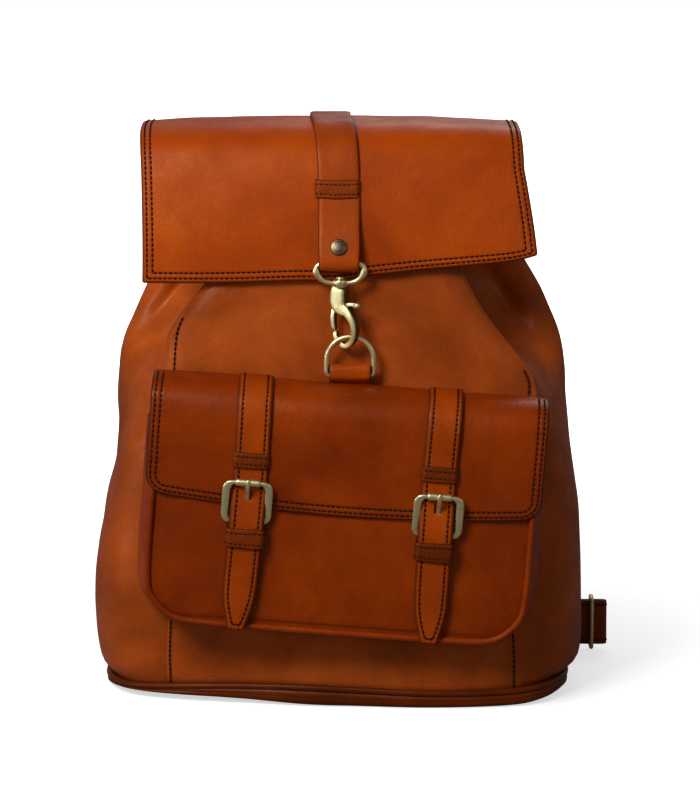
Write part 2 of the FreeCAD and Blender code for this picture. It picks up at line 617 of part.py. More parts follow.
def build_buckle(side, word):
    x = side * plain(dim("buckle_x"))
    here = POCKET_PLACE * Placement(Vector(x, 0, 0), Rotation())
    thick, width = plain(dim("pocket_strap_thick")), plain(dim("pocket_strap_width"))
    half = width / 2
    strip = bent_strip(STRAP_PATH, 0, -thick, width)
    slot = box(-SLOT_HALF, -120, SLOT_LOW, 2 * SLOT_HALF, 20, SLOT_HIGH - SLOT_LOW)
    trims = []
    for edge in (-1, 1):
        corners = [(edge * 5, -84), (edge * 5, -81.5), (edge * (half - 2.5), -62), (edge * half, -47),
                   (edge * (half + 3), -47), (edge * (half + 3), -84)]
        trim = new_body(f"{word}_strap_trim")
        sketch = new_sketch(trim, "XZ", 100)
        draw_polygon(sketch, corners)
        pad(trim, sketch, 20)
        trims.append(trim)
    keep(word + "_pocket_strap", cut(strip, [slot] + trims), here)

    # upper keeper is stitched to the flap, lower keeper to the chape
    upper_front = -108.8 - thick - 0.3
    shell = box(-half - 2, upper_front - 1.5, 24.1, width + 4, thick + 1.5, 9)
    hollow = box(-half - 0.4, upper_front, 20, width + 0.8, thick + 2, 18)
    keep(word + "_upper_keeper", cut(shell, [hollow]), here)
    shell = box(-half - 2.6, -116.7, -27.5, width + 5.2, 11, 11.9)
    hollow = box(-half - 1.0, -115.1, -40, width + 2.0, 7.8, 40)
    keep(word + "_lower_keeper", cut(shell, [hollow]), here)

    bar_y, bar_z, bar = dim("bar_y"), dim("bar_z"), dim("bar_radius")
    chape = new_body(word + "_chape_leather")
    sketch = new_sketch(chape, "YZ", 0)
    draw_polygon(sketch, [(-103.8, -40), (-103.8, -10), (-106.5, bar_z + 2.9), (-111, bar_z + 2.6),
                          (bar_y - 2.95, bar_z), (-111, bar_z - 2.6), (-106.5, bar_z - 2.9),
                          (-105.4, -15.3), (-105.4, -40)])
    pad(chape, sketch, 19, True)
    bore = rod((-12, bar_y, bar_z), (12, bar_y, bar_z), bar + 0.05)
    gate = box(-2.2, -114, -18, 4.4, 8.2, 12)
    keep(word + "_chape", cut(chape, [bore, gate]), here)

    # the frame lies in a plane that leans forward from its lower bar to its upper bar
    rise = math.hypot(plain(dim("top_bar_y")) - plain(bar_y), plain(dim("top_bar_z")) - plain(bar_z))
    lean = math.degrees(math.asin((plain(bar_y) - plain(dim("top_bar_y"))) / rise))
    frame_place = here * Placement(Vector(0, plain(bar_y), plain(bar_z)), Rotation(Vector(1, 0, 0), lean))
    ring = new_body(word + "_frame_ring")
    sketch = new_sketch(ring, "XZ", 0)
    outer, window = dim("frame_half"), dim("frame_window")
    draw_round_box(sketch, -outer, outer, as_size(-1.7), as_size(rise + 1.7), as_size(6), as_size(6))
    draw_round_box(sketch, -window, window, bar, as_size(rise - 1.5), as_size(2), as_size(2))
    pad(ring, sketch, dim("frame_thick"), True)
    roller_half = dim("roller_half")
    notches = [box(-roller_half - 0.2, -4, rise - 3, roller_half * 2 + 0.4, 8, 8),
               box(-10, -4, -4, 20, 8, bar + 4.2)]
    bars = [rod((-9, 0, rise), (9, 0, rise), 1.5), rod((-11.5, 0, 0), (11.5, 0, 0), bar)]
    keep(word + "_buckle_frame", fuse([cut(ring, notches)] + bars), frame_place)
    tube = rod((-roller_half, 0, rise), (roller_half, 0, rise), dim("roller_radius"))
    tube.Height = 2 * plain(roller_half)
    keep(word + "_buckle_roller", cut(tube, [rod((-10, 0, rise), (10, 0, rise), 1.56)]), frame_place)

    knuckle = rod((-1.5, bar_y, bar_z), (1.5, bar_y, bar_z), 2.5)
    needle = bent_rod([(0, -110.9, -9.9), (0, -113.6, -2.5), (0, -118.1, 12.5), (0, -118.3, 17.4)], 1.3)
    end = ball((0, -118.3, 17.4), 1.3)
    bore = rod((-4, bar_y, bar_z), (4, bar_y, bar_z), bar + 0.06)
    keep(word + "_buckle_prong", cut(fuse([knuckle, end] + needle), [bore]), here)


# ---------------------------------------------------------------- back: yoke, handle, shoulder straps

def build_back():
    profile("back_yoke", [(54.2, 268), (56.4, 268), (47.2, 351), (45.0, 351)], 130)
    handle = [(-54, 51.8), (-47, 63), (-28, 77), (28, 77), (47, 63), (54, 51.8)]
    strip = bent_strip(handle, 0, 4.0, 20, 334, "Z")
    keep("carry_handle", strip)
    width, thick = plain(dim("shoulder_width")), plain(dim("shoulder_thick"))
    top = 300
    path = [(55.4, top), (70, 307), (87, 289), (98, 240), (101, 160), (93, 75), (86, 46)]
    for side, word in ((-1, "left"), (1, "right")):
        strip = bent_strip([(y, z - top) for y, z in path], 0, thick, width)
        keep(word + "_shoulder_strap", strip,
             Placement(Vector(side * 36, 0, top), Rotation(Vector(0, 1, 0), -side * 11)))
        # the lower strap runs out along the back, turns round the adjuster and comes back
        turn = plain(dim(word + "_strap_turn"))
        start, straight_end, end = (106, 128, 96) if side > 0 else (80, 102, 96)
        band = plain(dim("lower_strap_width"))
        middle = plain(dim(word + "_strap_low")) + band / 2
        path_out = [(start, 66.2), (start + 16, 70.7), (turn, 70.7), (turn + 2.5, 71.9), (turn + 3, 74.2),
                    (turn + 2.5, 76.5), (turn, 77.7), (straight_end, 77.7), (end, 84)]
        if side < 0:
            path_out = [(-x, y) for x, y in path_out]
        strip = bent_strip(path_out, 0, side * 2.0, band, middle, "Z")
        keep(word + "_lower_strap", strip)
        anchor = [(side * (start - 14), 4 + 6), (side * 138, 4 + 6), (side * 138, 52), (side * (start - 4), 44)]
        plate(word + "_strap_anchor", "XZ", anchor, 2.0, -65.9, placement=None)
        x, y = side * (turn - 8), 74.2
        wire, tall, deep = dim("adjuster_wire"), band / 2 + 1.8, 5.2
        loop = [(x, y - deep, middle - tall), (x, y + deep, middle - tall), (x, y + deep, middle + tall),
                (x, y - deep, middle + tall)]
        bars = bent_rod(loop, wire, True) + [rod((x, y, middle - tall), (x, y, middle + tall), 0.7)]
        keep(word + "_strap_adjuster", fuse(bars))


def check_and_export():
    """Stops on any failed object or bad shape, then writes one STEP file per sub-part."""
    doc.recompute()
    for thing in doc.Objects:
        if "Invalid" in thing.State or "Error" in thing.State:
            raise RuntimeError(f"{thing.Name} ({thing.Label}) failed: {thing.State}")
    os.makedirs("parts", exist_ok=True)
    for label, thing in PARTS.items():
        shape = thing.Shape
        if shape.isNull() or not shape.isValid() or not shape.Solids:
            raise RuntimeError(f"{label} has no valid solid")
        shape.exportStep(f"parts/{label}.step")
        print(f"{label:24s} {len(shape.Solids)} solid {shape.Volume / 1000:9.3f} cm3")


build_bag()
build_main_flap()
build_hook()
build_ring()
build_pocket()
build_buckle(-1, "left")
build_buckle(1, "right")
build_back()
check_and_export()
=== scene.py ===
import bisect
import math

import bmesh
import bpy
from mathutils import Matrix, Vector, noise


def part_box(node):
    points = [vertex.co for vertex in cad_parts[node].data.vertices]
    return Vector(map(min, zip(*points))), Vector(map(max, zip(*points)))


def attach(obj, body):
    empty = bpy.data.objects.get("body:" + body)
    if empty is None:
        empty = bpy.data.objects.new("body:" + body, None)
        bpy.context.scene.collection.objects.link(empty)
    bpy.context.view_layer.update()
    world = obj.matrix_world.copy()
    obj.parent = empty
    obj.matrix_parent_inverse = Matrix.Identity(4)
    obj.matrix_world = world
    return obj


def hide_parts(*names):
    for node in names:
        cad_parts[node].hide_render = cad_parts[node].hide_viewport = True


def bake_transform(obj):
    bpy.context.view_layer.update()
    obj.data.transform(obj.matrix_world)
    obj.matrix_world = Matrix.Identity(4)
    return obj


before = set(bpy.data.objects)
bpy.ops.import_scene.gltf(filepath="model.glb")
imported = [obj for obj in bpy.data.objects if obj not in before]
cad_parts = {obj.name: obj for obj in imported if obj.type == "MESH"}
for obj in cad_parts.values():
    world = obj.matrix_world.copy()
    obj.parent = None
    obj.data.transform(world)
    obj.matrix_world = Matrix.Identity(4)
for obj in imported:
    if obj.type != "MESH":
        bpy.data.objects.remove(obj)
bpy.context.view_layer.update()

# A tan leather backpack. Shapes are worked out in millimetres, in the frame of the CAD model
# (+X to the right as seen from the front, -Y to the front, +Z up), and written in metres.

MM = 0.001
FRONT, BACK, UP = Vector((0, -1, 0)), Vector((0, 1, 0)), Vector((0, 0, 1))


# ---------------------------------------------------------------- small helpers

def box_mm(node):
    low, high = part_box(node)
    return low / MM, high / MM


def clamp(value, low=0.0, high=1.0):
    return max(low, min(high, value))


def ease(value, start, end):
    """0 before start, 1 after end and smooth between them."""
    t = clamp((value - start) / (end - start))
    return t * t * (3 - 2 * t)


def bump(value, centre, width):
    """A bell that is 1 at centre."""
    return math.exp(-((value - centre) / width) ** 2)


def spread(low, high, step):
    """Evenly spaced numbers from low to high, about a step apart."""
    count = max(1, round((high - low) / step))
    return [low + (high - low) * i / count for i in range(count + 1)]


def denser(values, *extra):
    """The grid lines in values with more of them added; lines closer than 0.2 are merged."""
    lines = []
    for value in sorted(values + [v for more in extra for v in more]):
        if values[0] <= value <= values[-1] and (not lines or value - lines[-1] > 0.2):
            lines.append(value)
    lines[-1] = values[-1]
    return lines


def hermite(a, b, slope_a, slope_b, t):
    return (a * (2 * t ** 3 - 3 * t ** 2 + 1) + slope_a * (t ** 3 - 2 * t ** 2 + t)
            + b * (3 * t ** 2 - 2 * t ** 3) + slope_b * (t ** 3 - t ** 2))


class Track:
    """Values at rising keys, joined smoothly."""

    def __init__(self, rows):
        self.keys = [row[0] for row in rows]
        self.values = [Vector(row[1:]) if len(row) > 2 else row[1] for row in rows]

    def slope(self, i):
        j, k = max(0, i - 1), min(len(self.keys) - 1, i + 1)
        return (self.values[k] - self.values[j]) / (self.keys[k] - self.keys[j])

    def at(self, key):
        key = clamp(key, self.keys[0], self.keys[-1])
        i = min(len(self.keys) - 2, max(0, bisect.bisect_right(self.keys, key) - 1))
        gap = self.keys[i + 1] - self.keys[i]
        return hermite(self.values[i], self.values[i + 1], self.slope(i) * gap, self.slope(i + 1) * gap,
                       (key - self.keys[i]) / gap)


class Path:
    """A smooth curve through its points, read by distance along it."""

    def __init__(self, points, closed=False, steps=10):
        corners = [Vector(p) for p in points]
        if closed:
            corners = corners[-2:] + corners + corners[:3]
        keys = [0.0]
        for a, b in zip(corners, corners[1:]):
            keys.append(keys[-1] + (b - a).length)
        track = Track([(key, *corner) for key, corner in zip(keys, corners)])
        if closed:
            keys = keys[2:-2]
        self.line = []
        for a, b in zip(keys, keys[1:]):
            self.line += [track.at(a + (b - a) * k / steps) for k in range(steps)]
        self.line.append(track.at(keys[-1]))
        self.far = [0.0]
        for a, b in zip(self.line, self.line[1:]):
            self.far.append(self.far[-1] + (b - a).length)
        self.length = self.far[-1]

    def at(self, distance):
        i = min(len(self.line) - 2, max(0, bisect.bisect_right(self.far, distance) - 1))
        share = (distance - self.far[i]) / (self.far[i + 1] - self.far[i])
        return self.line[i].lerp(self.line[i + 1], share)

    def nearest(self, point):
        """The distance along the path of the place nearest to a point."""
        target = Vector(point)
        i = min(range(len(self.line)), key=lambda k: (self.line[k] - target).length_squared)
        return self.far[i]


def wobble(x, y, z, size, seed=0):
    """Smooth noise from -1 to 1 whose lumps are about size millimetres across."""
    return noise.noise(Vector((x / size + seed * 7.3, y / size - seed * 3.1, z / size + seed)))


# ---------------------------------------------------------------- meshes

def section(centre, side, over, wide, deep, sides, power=1.0):
    """Points round a place: an ellipse at power 1, and more like a rounded rectangle below that."""
    points = []
    for k in range(sides):
        angle = 2 * math.pi * k / sides
        c, s = (math.copysign(abs(q) ** power, q) for q in (math.cos(angle), math.sin(angle)))
        points.append(centre + side * (c * wide) + over * (s * deep))
    return points


def tube_faces(count, sides, closed=False):
    """Faces that join count sections, with flat ends unless the tube closes on itself."""
    faces = []
    for i in range(count if closed else count - 1):
        j = (i + 1) % count
        for k in range(sides):
            m = (k + 1) % sides
            faces.append((i * sides + k, i * sides + m, j * sides + m, j * sides + k))
    if not closed:
        faces += [tuple(range(sides))[::-1], tuple(range((count - 1) * sides, count * sides))]
    return faces


class Shape:
    """Points in millimetres, faces, and how dark each point is (burnished edges and painted shade in grooves
    and seams), gathered before one mesh is made.
    """

    def __init__(self):
        self.points, self.faces, self.burnish_and_shade = [], [], []

    def add(self, points, faces, burnish_and_shade=0.0):
        first = len(self.points)
        self.points += points
        self.burnish_and_shade += burnish_and_shade if isinstance(burnish_and_shade, list) else [burnish_and_shade] * len(points)
        self.faces += [tuple(i + first for i in face) for face in faces]
        return self

    def moved(self, matrix):
        self.points = [matrix @ p for p in self.points]
        return self

    def tube(self, line, radius, sides=12, closed=False, flat=1.0, up=None, burnish_and_shade=0.0):
        """A round or flattened tube along a list of points; radius is a number or a list, one per point."""
        count = len(line)
        radii = radius if isinstance(radius, list) else [radius] * count
        points, side = [], None
        for i, centre in enumerate(line):
            after = line[(i + 1) % count] if closed else line[min(i + 1, count - 1)]
            before = line[i - 1] if closed or i else line[0]
            ahead = (after - before).normalized()
            if up is not None:
                side = ahead.cross(up).normalized()
            elif side is None:
                side = ahead.orthogonal().normalized()
            else:
                side = (side - ahead * side.dot(ahead)).normalized()
            points += section(centre, side, side.cross(ahead), radii[i], radii[i] * flat, sides)
        return self.add(points, tube_faces(count, sides, closed), burnish_and_shade)

    def turned(self, profile, centre, axis, sides=32):
        """A profile of (radius, height) pairs turned about an axis; it starts and ends on the axis."""
        axis, centre = Vector(axis).normalized(), Vector(centre)
        side = axis.orthogonal().normalized()
        inner = profile[1:-1]
        points = [centre + axis * profile[0][1], centre + axis * profile[-1][1]]
        for radius, height in inner:
            points += section(centre + axis * height, side, axis.cross(side), radius, radius, sides)
        faces = []
        for k in range(sides):
            m = (k + 1) % sides
            faces.append((0, 2 + m, 2 + k))
            for i in range(len(inner) - 1):
                a, b = 2 + i * sides, 2 + (i + 1) * sides
                faces.append((a + k, a + m, b + m, b + k))
            last = 2 + (len(inner) - 1) * sides
            faces.append((1, last + k, last + m))
        return self.add(points, faces)

    def make(self, name, material, slot, body, nodes=(), smooth_levels=0, matrix=None):
        if matrix is not None:
            self.moved(matrix)
        mesh = bpy.data.meshes.new(name)
        mesh.from_pydata([p * MM for p in self.points], [], self.faces)
        attribute = mesh.attributes.new("burnish_and_shade", "FLOAT", "POINT")
        attribute.data.foreach_set("value", self.burnish_and_shade)
        form = bmesh.new()
        form.from_mesh(mesh)
        bmesh.ops.recalc_face_normals(form, faces=form.faces)
        form.to_mesh(mesh)
        form.free()
        mesh.shade_smooth()
        piece = bpy.data.objects.new(name, mesh)
        bpy.context.scene.collection.objects.link(piece)
        piece.data.materials.append(material)
        if smooth_levels:
            modifier = piece.modifiers.new("round", "SUBSURF")
            modifier.levels = modifier.render_levels = smooth_levels
        if isinstance(body, str):
            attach(piece, body)
        else:
            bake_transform(piece)
        if nodes:
            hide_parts(*nodes)
        return piece


class Hide:
    """A piece of leather or cloth: at(u, v) is its outer face, relief(u, v, point) stands proud of that."""

    def __init__(self, at, facing, relief=None, matrix=None):
        self.at, self.facing, self.relief, self.matrix = at, facing, relief, matrix

    def normal(self, u, v, step=0.4):
        across = self.at(u + step, v) - self.at(u - step, v)
        along = self.at(u, v + step) - self.at(u, v - step)
        out = across.cross(along).normalized()
        hint = self.facing(u, v) if callable(self.facing) else self.facing
        return out if out.dot(hint) >= 0 else -out

    def spot(self, u, v, lift=0.0, step=0.4):
        """(point, normal) on the finished face."""
        point, out = self.at(u, v), self.normal(u, v, step)
        height = lift + (self.relief(u, v, point) if self.relief else 0.0)
        point = point + out * height
        if self.matrix is not None:
            return self.matrix @ point, self.matrix.to_3x3() @ out
        return point, out

    def row(self, pairs, step=0.4):
        return [self.spot(u, v, step=step) for u, v in pairs]

    def shape(self, us, vs, thick, hole=None, burnish_and_shade=None, rim=4, step=0.4):
        """The closed solid over the grid us x vs, with round edges."""
        wide, high = len(us), len(vs)
        outer, outs, tones = [], [], []
        for v in vs:
            for u in us:
                point, out = self.at(u, v), self.normal(u, v, step)
                if self.relief:
                    point = point + out * self.relief(u, v, point)
                outer.append(point)
                outs.append(out)
                tones.append(burnish_and_shade(u, v) if burnish_and_shade else 0.0)
        inner = [p - n * thick for p, n in zip(outer, outs)]
        size = wide * high
        points, faces = outer + inner, []
        tones = tones + tones
        gone = set()
        if hole:
            u0, u1, v0, v1 = hole
            gone = {(i, j) for i in range(wide - 1) for j in range(high - 1)
                    if u0 <= us[i] < u1 - 0.01 and v0 <= vs[j] < v1 - 0.01}
        for j in range(high - 1):
            for i in range(wide - 1):
                if (i, j) in gone:
                    continue
                a = j * wide + i
                quad = (a, a + 1, a + wide + 1, a + wide)
                faces.append(quad)
                faces.append(tuple(k + size for k in quad[::-1]))
                for di, dj, p, q in ((-1, 0, a + wide, a), (1, 0, a + 1, a + wide + 1),
                                     (0, -1, a, a + 1), (0, 1, a + wide + 1, a + wide)):
                    if (i + di, j + dj) in gone:
                        faces.append((p, p + size, q + size, q))
        ring = (list(range(wide)) + [j * wide + wide - 1 for j in range(1, high)]
                + [(high - 1) * wide + i for i in range(wide - 2, -1, -1)]
                + [j * wide for j in range(high - 2, 0, -1)])
        previous, count = ring, len(ring)
        for k in range(1, rim):
            angle = math.pi * k / rim
            current = []
            for index in ring:
                row, column = divmod(index, wide)
                away = Vector((0, 0, 0))
                if column in (0, wide - 1):
                    near = index + 1 if column == 0 else index - 1
                    away += (outer[index] - outer[near]).normalized()
                if row in (0, high - 1):
                    near = index + wide if row == 0 else index - wide
                    away += (outer[index] - outer[near]).normalized()
                out = outs[index]
                away = (away - out * away.dot(out)).normalized()
                sink = thick / 2 * (1 - math.cos(angle))
                points.append(outer[index] - out * sink + away * (math.sin(angle) * thick * 0.5))
                tones.append(1.0)
                current.append(len(points) - 1)
            for m in range(count):
                n = (m + 1) % count
                faces.append((previous[m], current[m], current[n], previous[n]))
            previous = current
        for m in range(count):
            n = (m + 1) % count
            faces.append((previous[m], ring[m] + size, ring[n] + size, previous[n]))
        shape = Shape().add(points, faces, tones)
        return shape.moved(self.matrix) if self.matrix is not None else shape


PITCH, THREAD = 3.3, 0.6
# one stitch: share of the pitch, height above the leather, share of the thread's radius
STITCH = ((0.15, -0.66, 0.7), (0.24, 0.11, 0.95), (0.5, 0.374, 1.0), (0.76, 0.11, 0.95), (0.85, -0.66, 0.7))


def sew(shape, spots, pitch=PITCH, thread=THREAD):
    """Stitches along a row of (point, normal) spots, each one an arch that dives into the leather."""
    far = [0.0]
    for (a, _), (b, _) in zip(spots, spots[1:]):
        far.append(far[-1] + (b - a).length)
    if far[-1] < pitch:
        return

    def spot(distance):
        i = min(len(far) - 2, max(0, bisect.bisect_right(far, distance) - 1))
        share = (distance - far[i]) / max(1e-6, far[i + 1] - far[i])
        return spots[i][0].lerp(spots[i + 1][0], share), spots[i][1].lerp(spots[i + 1][1], share)

    count = round(far[-1] / pitch)
    step = far[-1] / count
    for k in range(count):
        line = []
        for share, height, _ in STITCH:
            point, out = spot((k + share) * step)
            line.append(point + out * height)
        shape.tube(line, [thread * radius for *_, radius in STITCH], sides=6)


def stitched(name, body, *rows, pitch=PITCH, thread=THREAD):
    """One piece with the stitches of several rows."""
    shape = Shape()
    for row in rows:
        sew(shape, row, pitch, thread)
    shape.make(name, THREAD_BROWN, None, body)


# ---------------------------------------------------------------- materials

class Nodes:
    """A short way to write a node tree."""

    def __init__(self, name):
        self.material = bpy.data.materials.new(name)
        self.material.use_nodes = True
        self.tree = self.material.node_tree
        self.shader = self.tree.nodes["Principled BSDF"]
        self.place = self.tree.nodes.new("ShaderNodeTexCoord").outputs["Object"]

    def new(self, kind, inputs=(), **settings):
        node = self.tree.nodes.new("ShaderNode" + kind)
        for key, value in settings.items():
            setattr(node, key, value)
        for key, value in dict(inputs).items():
            if isinstance(value, bpy.types.NodeSocket):
                self.tree.links.new(value, node.inputs[key])
            else:
                node.inputs[key].default_value = value
        return node

    def noise(self, scale, detail=3.0, rough=0.55, distort=0.0, place=None):
        inputs = {"Vector": place or self.place, "Scale": scale, "Detail": detail,
                  "Roughness": rough, "Distortion": distort}
        return self.new("TexNoise", inputs).outputs["Fac"]

    def ramp(self, factor, stops):
        node = self.new("ValToRGB", {"Fac": factor})
        while len(node.color_ramp.elements) < len(stops):
            node.color_ramp.elements.new(0.5)
        for element, (place, colour) in zip(node.color_ramp.elements, stops):
            element.position = place
            element.color = (*colour, 1.0) if len(colour) == 3 else colour
        return node.outputs["Color"]

    def blend(self, factor, a, b, mode="MIX"):
        node = self.new("Mix", data_type="RGBA", blend_type=mode)
        for socket, value in ((node.inputs[0], factor), (node.inputs[6], a), (node.inputs[7], b)):
            if isinstance(value, bpy.types.NodeSocket):
                self.tree.links.new(value, socket)
            elif isinstance(value, tuple):
                socket.default_value = (*value, 1.0)
            else:
                socket.default_value = value
        return node.outputs[2]

    def maths(self, operation, a, b, c=0.0):
        return self.new("Math", {0: a, 1: b, 2: c}, operation=operation).outputs[0]

    def range(self, value, low, high, from_low=0.0, from_high=1.0):
        inputs = {"Value": value, "From Min": from_low, "From Max": from_high, "To Min": low, "To Max": high}
        return self.new("MapRange", inputs).outputs[0]

    def raise_by(self, height, depth, strength=1.0, below=None):
        inputs = {"Height": height, "Distance": depth, "Strength": strength}
        if below is not None:
            inputs["Normal"] = below
        return self.new("Bump", inputs).outputs["Normal"]

    def set(self, **sockets):
        for key, value in sockets.items():
            name = key.replace("_", " ")
            if isinstance(value, bpy.types.NodeSocket):
                self.tree.links.new(value, self.shader.inputs[name])
            elif isinstance(value, tuple):
                self.shader.inputs[name].default_value = (*value, 1.0)
            else:
                self.shader.inputs[name].default_value = value
        return self.material


def srgb(channels):
    """Linear colour from 0-255 display values."""
    shares = [c / 255 for c in channels]
    return tuple(c / 12.92 if c <= 0.04045 else ((c + 0.055) / 1.055) ** 2.4 for c in shares)


PATINA = srgb((34, 27, 14))


def leather(name, light, middle, dark, edge, gloss=0.36, shift=0.0):
    """Vegetable-tanned cowhide: cloudy colour, fine pores, faint creases, burnished edges, and painted shade
    in stitch grooves and seams.
    """
    light, middle, dark, edge = map(srgb, (light, middle, dark, edge))
    n = Nodes(name)
    moved = n.new("Mapping", {"Vector": n.place, "Location": (shift, shift * 0.7, -shift)}).outputs[0]
    clouds = n.noise(9.0, 4.0, 0.6, 0.6, moved)
    patches = n.noise(38.0, 5.0, 0.62, 0.3, moved)
    speckle = n.noise(900.0, 2.0, 0.5, 0.0, moved)
    colour = n.ramp(clouds, [(0.28, dark), (0.5, middle), (0.74, light)])
    colour = n.blend(n.range(patches, 0.0, 0.5, 0.35, 0.75), colour, dark)
    colour = n.blend(n.range(speckle, 0.0, 0.22, 0.4, 0.8), colour, edge)
    # darker towards the edge colour by the point attribute: burnished cut edges, plus painted shade in stitch
    # grooves, along the shell's foot and beside the pocket welt
    burnish_and_shade = n.new("Attribute", attribute_name="burnish_and_shade").outputs["Fac"]
    colour = n.blend(n.range(burnish_and_shade, 0.0, 0.9), colour, edge)
    pores = n.new("TexVoronoi", {"Vector": moved, "Scale": 1250.0, "Randomness": 1.0}).outputs["Distance"]
    creases = n.noise(120.0, 6.0, 0.66, 1.4, moved)
    fine = n.noise(520.0, 4.0, 0.6, 0.5, moved)
    normal = n.raise_by(creases, 0.0011, 0.30)
    normal = n.raise_by(fine, 0.00028, 0.45, normal)
    normal = n.raise_by(pores, 0.00012, 0.5, normal)
    rough = n.maths("ADD", n.range(patches, gloss - 0.05, gloss + 0.12, 0.3, 0.7), n.range(fine, -0.04, 0.06))
    return n.set(Base_Color=colour, Roughness=rough, Normal=normal, Specular_IOR_Level=0.22,
                 Specular_Tint=(1.0, 0.66, 0.4), Coat_Weight=0.03, Coat_Roughness=0.2)


def metal(name, bright, worn, dark, gloss):
    """Plated casting, brighter where it is rubbed and darker where the patina stays."""
    bright, worn, dark = map(srgb, (bright, worn, dark))
    n = Nodes(name)
    patina = n.noise(160.0, 5.0, 0.65, 0.6)
    rub = n.noise(45.0, 3.0, 0.5)
    colour = n.ramp(patina, [(0.2, dark), (0.4, worn), (0.6, bright)])
    colour = n.blend(n.range(rub, 0.0, 0.6, 0.3, 0.7), colour, bright)
    burnish_and_shade = n.new("Attribute", attribute_name="burnish_and_shade").outputs["Fac"]
    colour = n.blend(n.range(burnish_and_shade, 0.0, 0.95), colour, PATINA)
    scratches = n.noise(1800.0, 3.0, 0.7)
    normal = n.raise_by(patina, 0.0001, 0.2)
    normal = n.raise_by(scratches, 0.00002, 0.4, normal)
    rough = n.range(patina, gloss + 0.1, gloss - 0.05, 0.3, 0.7)
    return n.set(Base_Color=colour, Roughness=rough, Normal=normal, Metallic=1.0)


def cloth(name, light, dark):
    """Plain-woven cotton."""
    light, dark = srgb(light), srgb(dark)
    n = Nodes(name)
    threads = {"Vector": n.place, "Scale": 420.0, "Distortion": 0.6}
    warp, weft = (n.new("TexWave", threads, bands_direction=way).outputs["Fac"] for way in "XZ")
    weave = n.maths("MULTIPLY", warp, weft)
    fade = n.noise(30.0, 4.0)
    colour = n.blend(n.range(fade, 0.1, 0.9), light, dark)
    colour = n.blend(n.range(weave, 0.4, 0.0), colour, dark)
    return n.set(Base_Color=colour, Roughness=0.86, Normal=n.raise_by(weave, 0.0002, 0.6), Sheen_Weight=0.2)


def thread_material(name, light, dark):
    """Waxed twisted thread."""
    light, dark = srgb(light), srgb(dark)
    n = Nodes(name)
    lay = {"Vector": n.place, "Scale": 900.0, "Distortion": 1.0}
    twist = n.new("TexWave", lay, bands_direction="DIAGONAL").outputs["Fac"]
    # painted highlights and shade: the twist's light bands stand for highlights on the strands and its dark
    # bands for shade between them
    colour = n.blend(n.range(twist, 0.0, 0.8), dark, light)
    return n.set(Base_Color=colour, Roughness=0.75, Normal=n.raise_by(twist, 0.0001, 0.6),
                 Specular_IOR_Level=0.1)


def board_material(name, light, dark):
    """Pressed fibre board."""
    light, dark = srgb(light), srgb(dark)
    n = Nodes(name)
    fibre = n.noise(300.0, 6.0, 0.7, 0.4)
    colour = n.blend(n.range(fibre, 0.0, 1.0), light, dark)
    return n.set(Base_Color=colour, Roughness=0.9, Normal=n.raise_by(fibre, 0.0003, 0.4))


TAN = leather("flap_leather", (192, 80, 0), (176, 66, 0), (148, 49, 0), (78, 24, 0), 0.42)
BODY_TAN = leather("body_leather", (196, 90, 30), (174, 75, 20), (128, 49, 8), (64, 19, 2), 0.36, 0.4)
POCKET_TAN = leather("pocket_leather", (166, 63, 0), (142, 48, 0), (104, 30, 0), (54, 14, 0), 0.34, 0.9)
STRAP_TAN = leather("strap_leather", (188, 78, 0), (168, 64, 0), (136, 47, 0), (72, 22, 0), 0.42, 1.7)
KEEPER_TAN = leather("keeper_leather", (140, 54, 6), (120, 43, 2), (92, 30, 0), (46, 13, 0), 0.44, 2.3)
# painted shade: a darker copy of the tan leather for the base panel and its welt, which face down
SHADED_BASE_TAN = leather("base_leather", (124, 47, 2), (102, 35, 0), (76, 23, 0), (40, 10, 0), 0.34, 3.1)
BRASS = metal("antique_brass", (240, 228, 172), (222, 206, 146), (168, 148, 94), 0.34)
BRONZE = metal("dark_bronze", (124, 108, 84), (92, 78, 58), (52, 42, 32), 0.34)
STEEL = metal("spring_steel", (190, 190, 188), (160, 160, 158), (110, 110, 108), 0.25)
LINING = cloth("lining_cloth", (150, 122, 86), (110, 84, 56))
THREAD_BROWN = thread_material("thread", (62, 28, 14), (18, 7, 4))
BOARD = board_material("base_board", (128, 104, 78), (92, 72, 52))


# ---------------------------------------------------------------- camera, floor and light

CAMERA_LENS, CAMERA_FAR, CAMERA_TILT = 171, 2.2, math.radians(11)
CAMERA_AIM = Vector((0.0079, 0, 0.191))
# name, place, aim, size, power
LIGHTS = (
    ("key", (-0.75, -1.25, 1.25), (0, 0, 0.24), 0.6, 23), ("fill", (1.5, -1.4, 0.8), (0, 0, 0.2), 0.9, 2.2),
    ("low_left", (-1.5, -0.7, 0.3), (-0.1, 0, 0.08), 0.35, 4), ("back", (0.4, 1.6, 1.3), (0, 0, 0.2), 1.0, 5),
)
FLOOR_HALF = 6.0


def build_camera():
    camera = bpy.data.objects.new("camera", bpy.data.cameras.new("camera"))
    bpy.context.scene.collection.objects.link(camera)
    camera.data.sensor_fit = "HORIZONTAL"
    camera.data.sensor_width = 36
    camera.data.lens = CAMERA_LENS
    away = Vector((0, -math.cos(CAMERA_TILT), math.sin(CAMERA_TILT)))
    camera.location = CAMERA_AIM + away * CAMERA_FAR
    camera.rotation_euler = (math.radians(90) - CAMERA_TILT, 0, 0)
    bpy.context.scene.camera = camera


def area_light(name, place, aim, size, power):
    data = bpy.data.lights.new(name, "AREA")
    data.shape, data.size, data.energy = "SQUARE", size, power
    light = bpy.data.objects.new(name, data)
    light.location = place
    light.rotation_euler = (Vector(aim) - Vector(place)).to_track_quat("-Z", "Y").to_euler()
    bpy.context.scene.collection.objects.link(light)


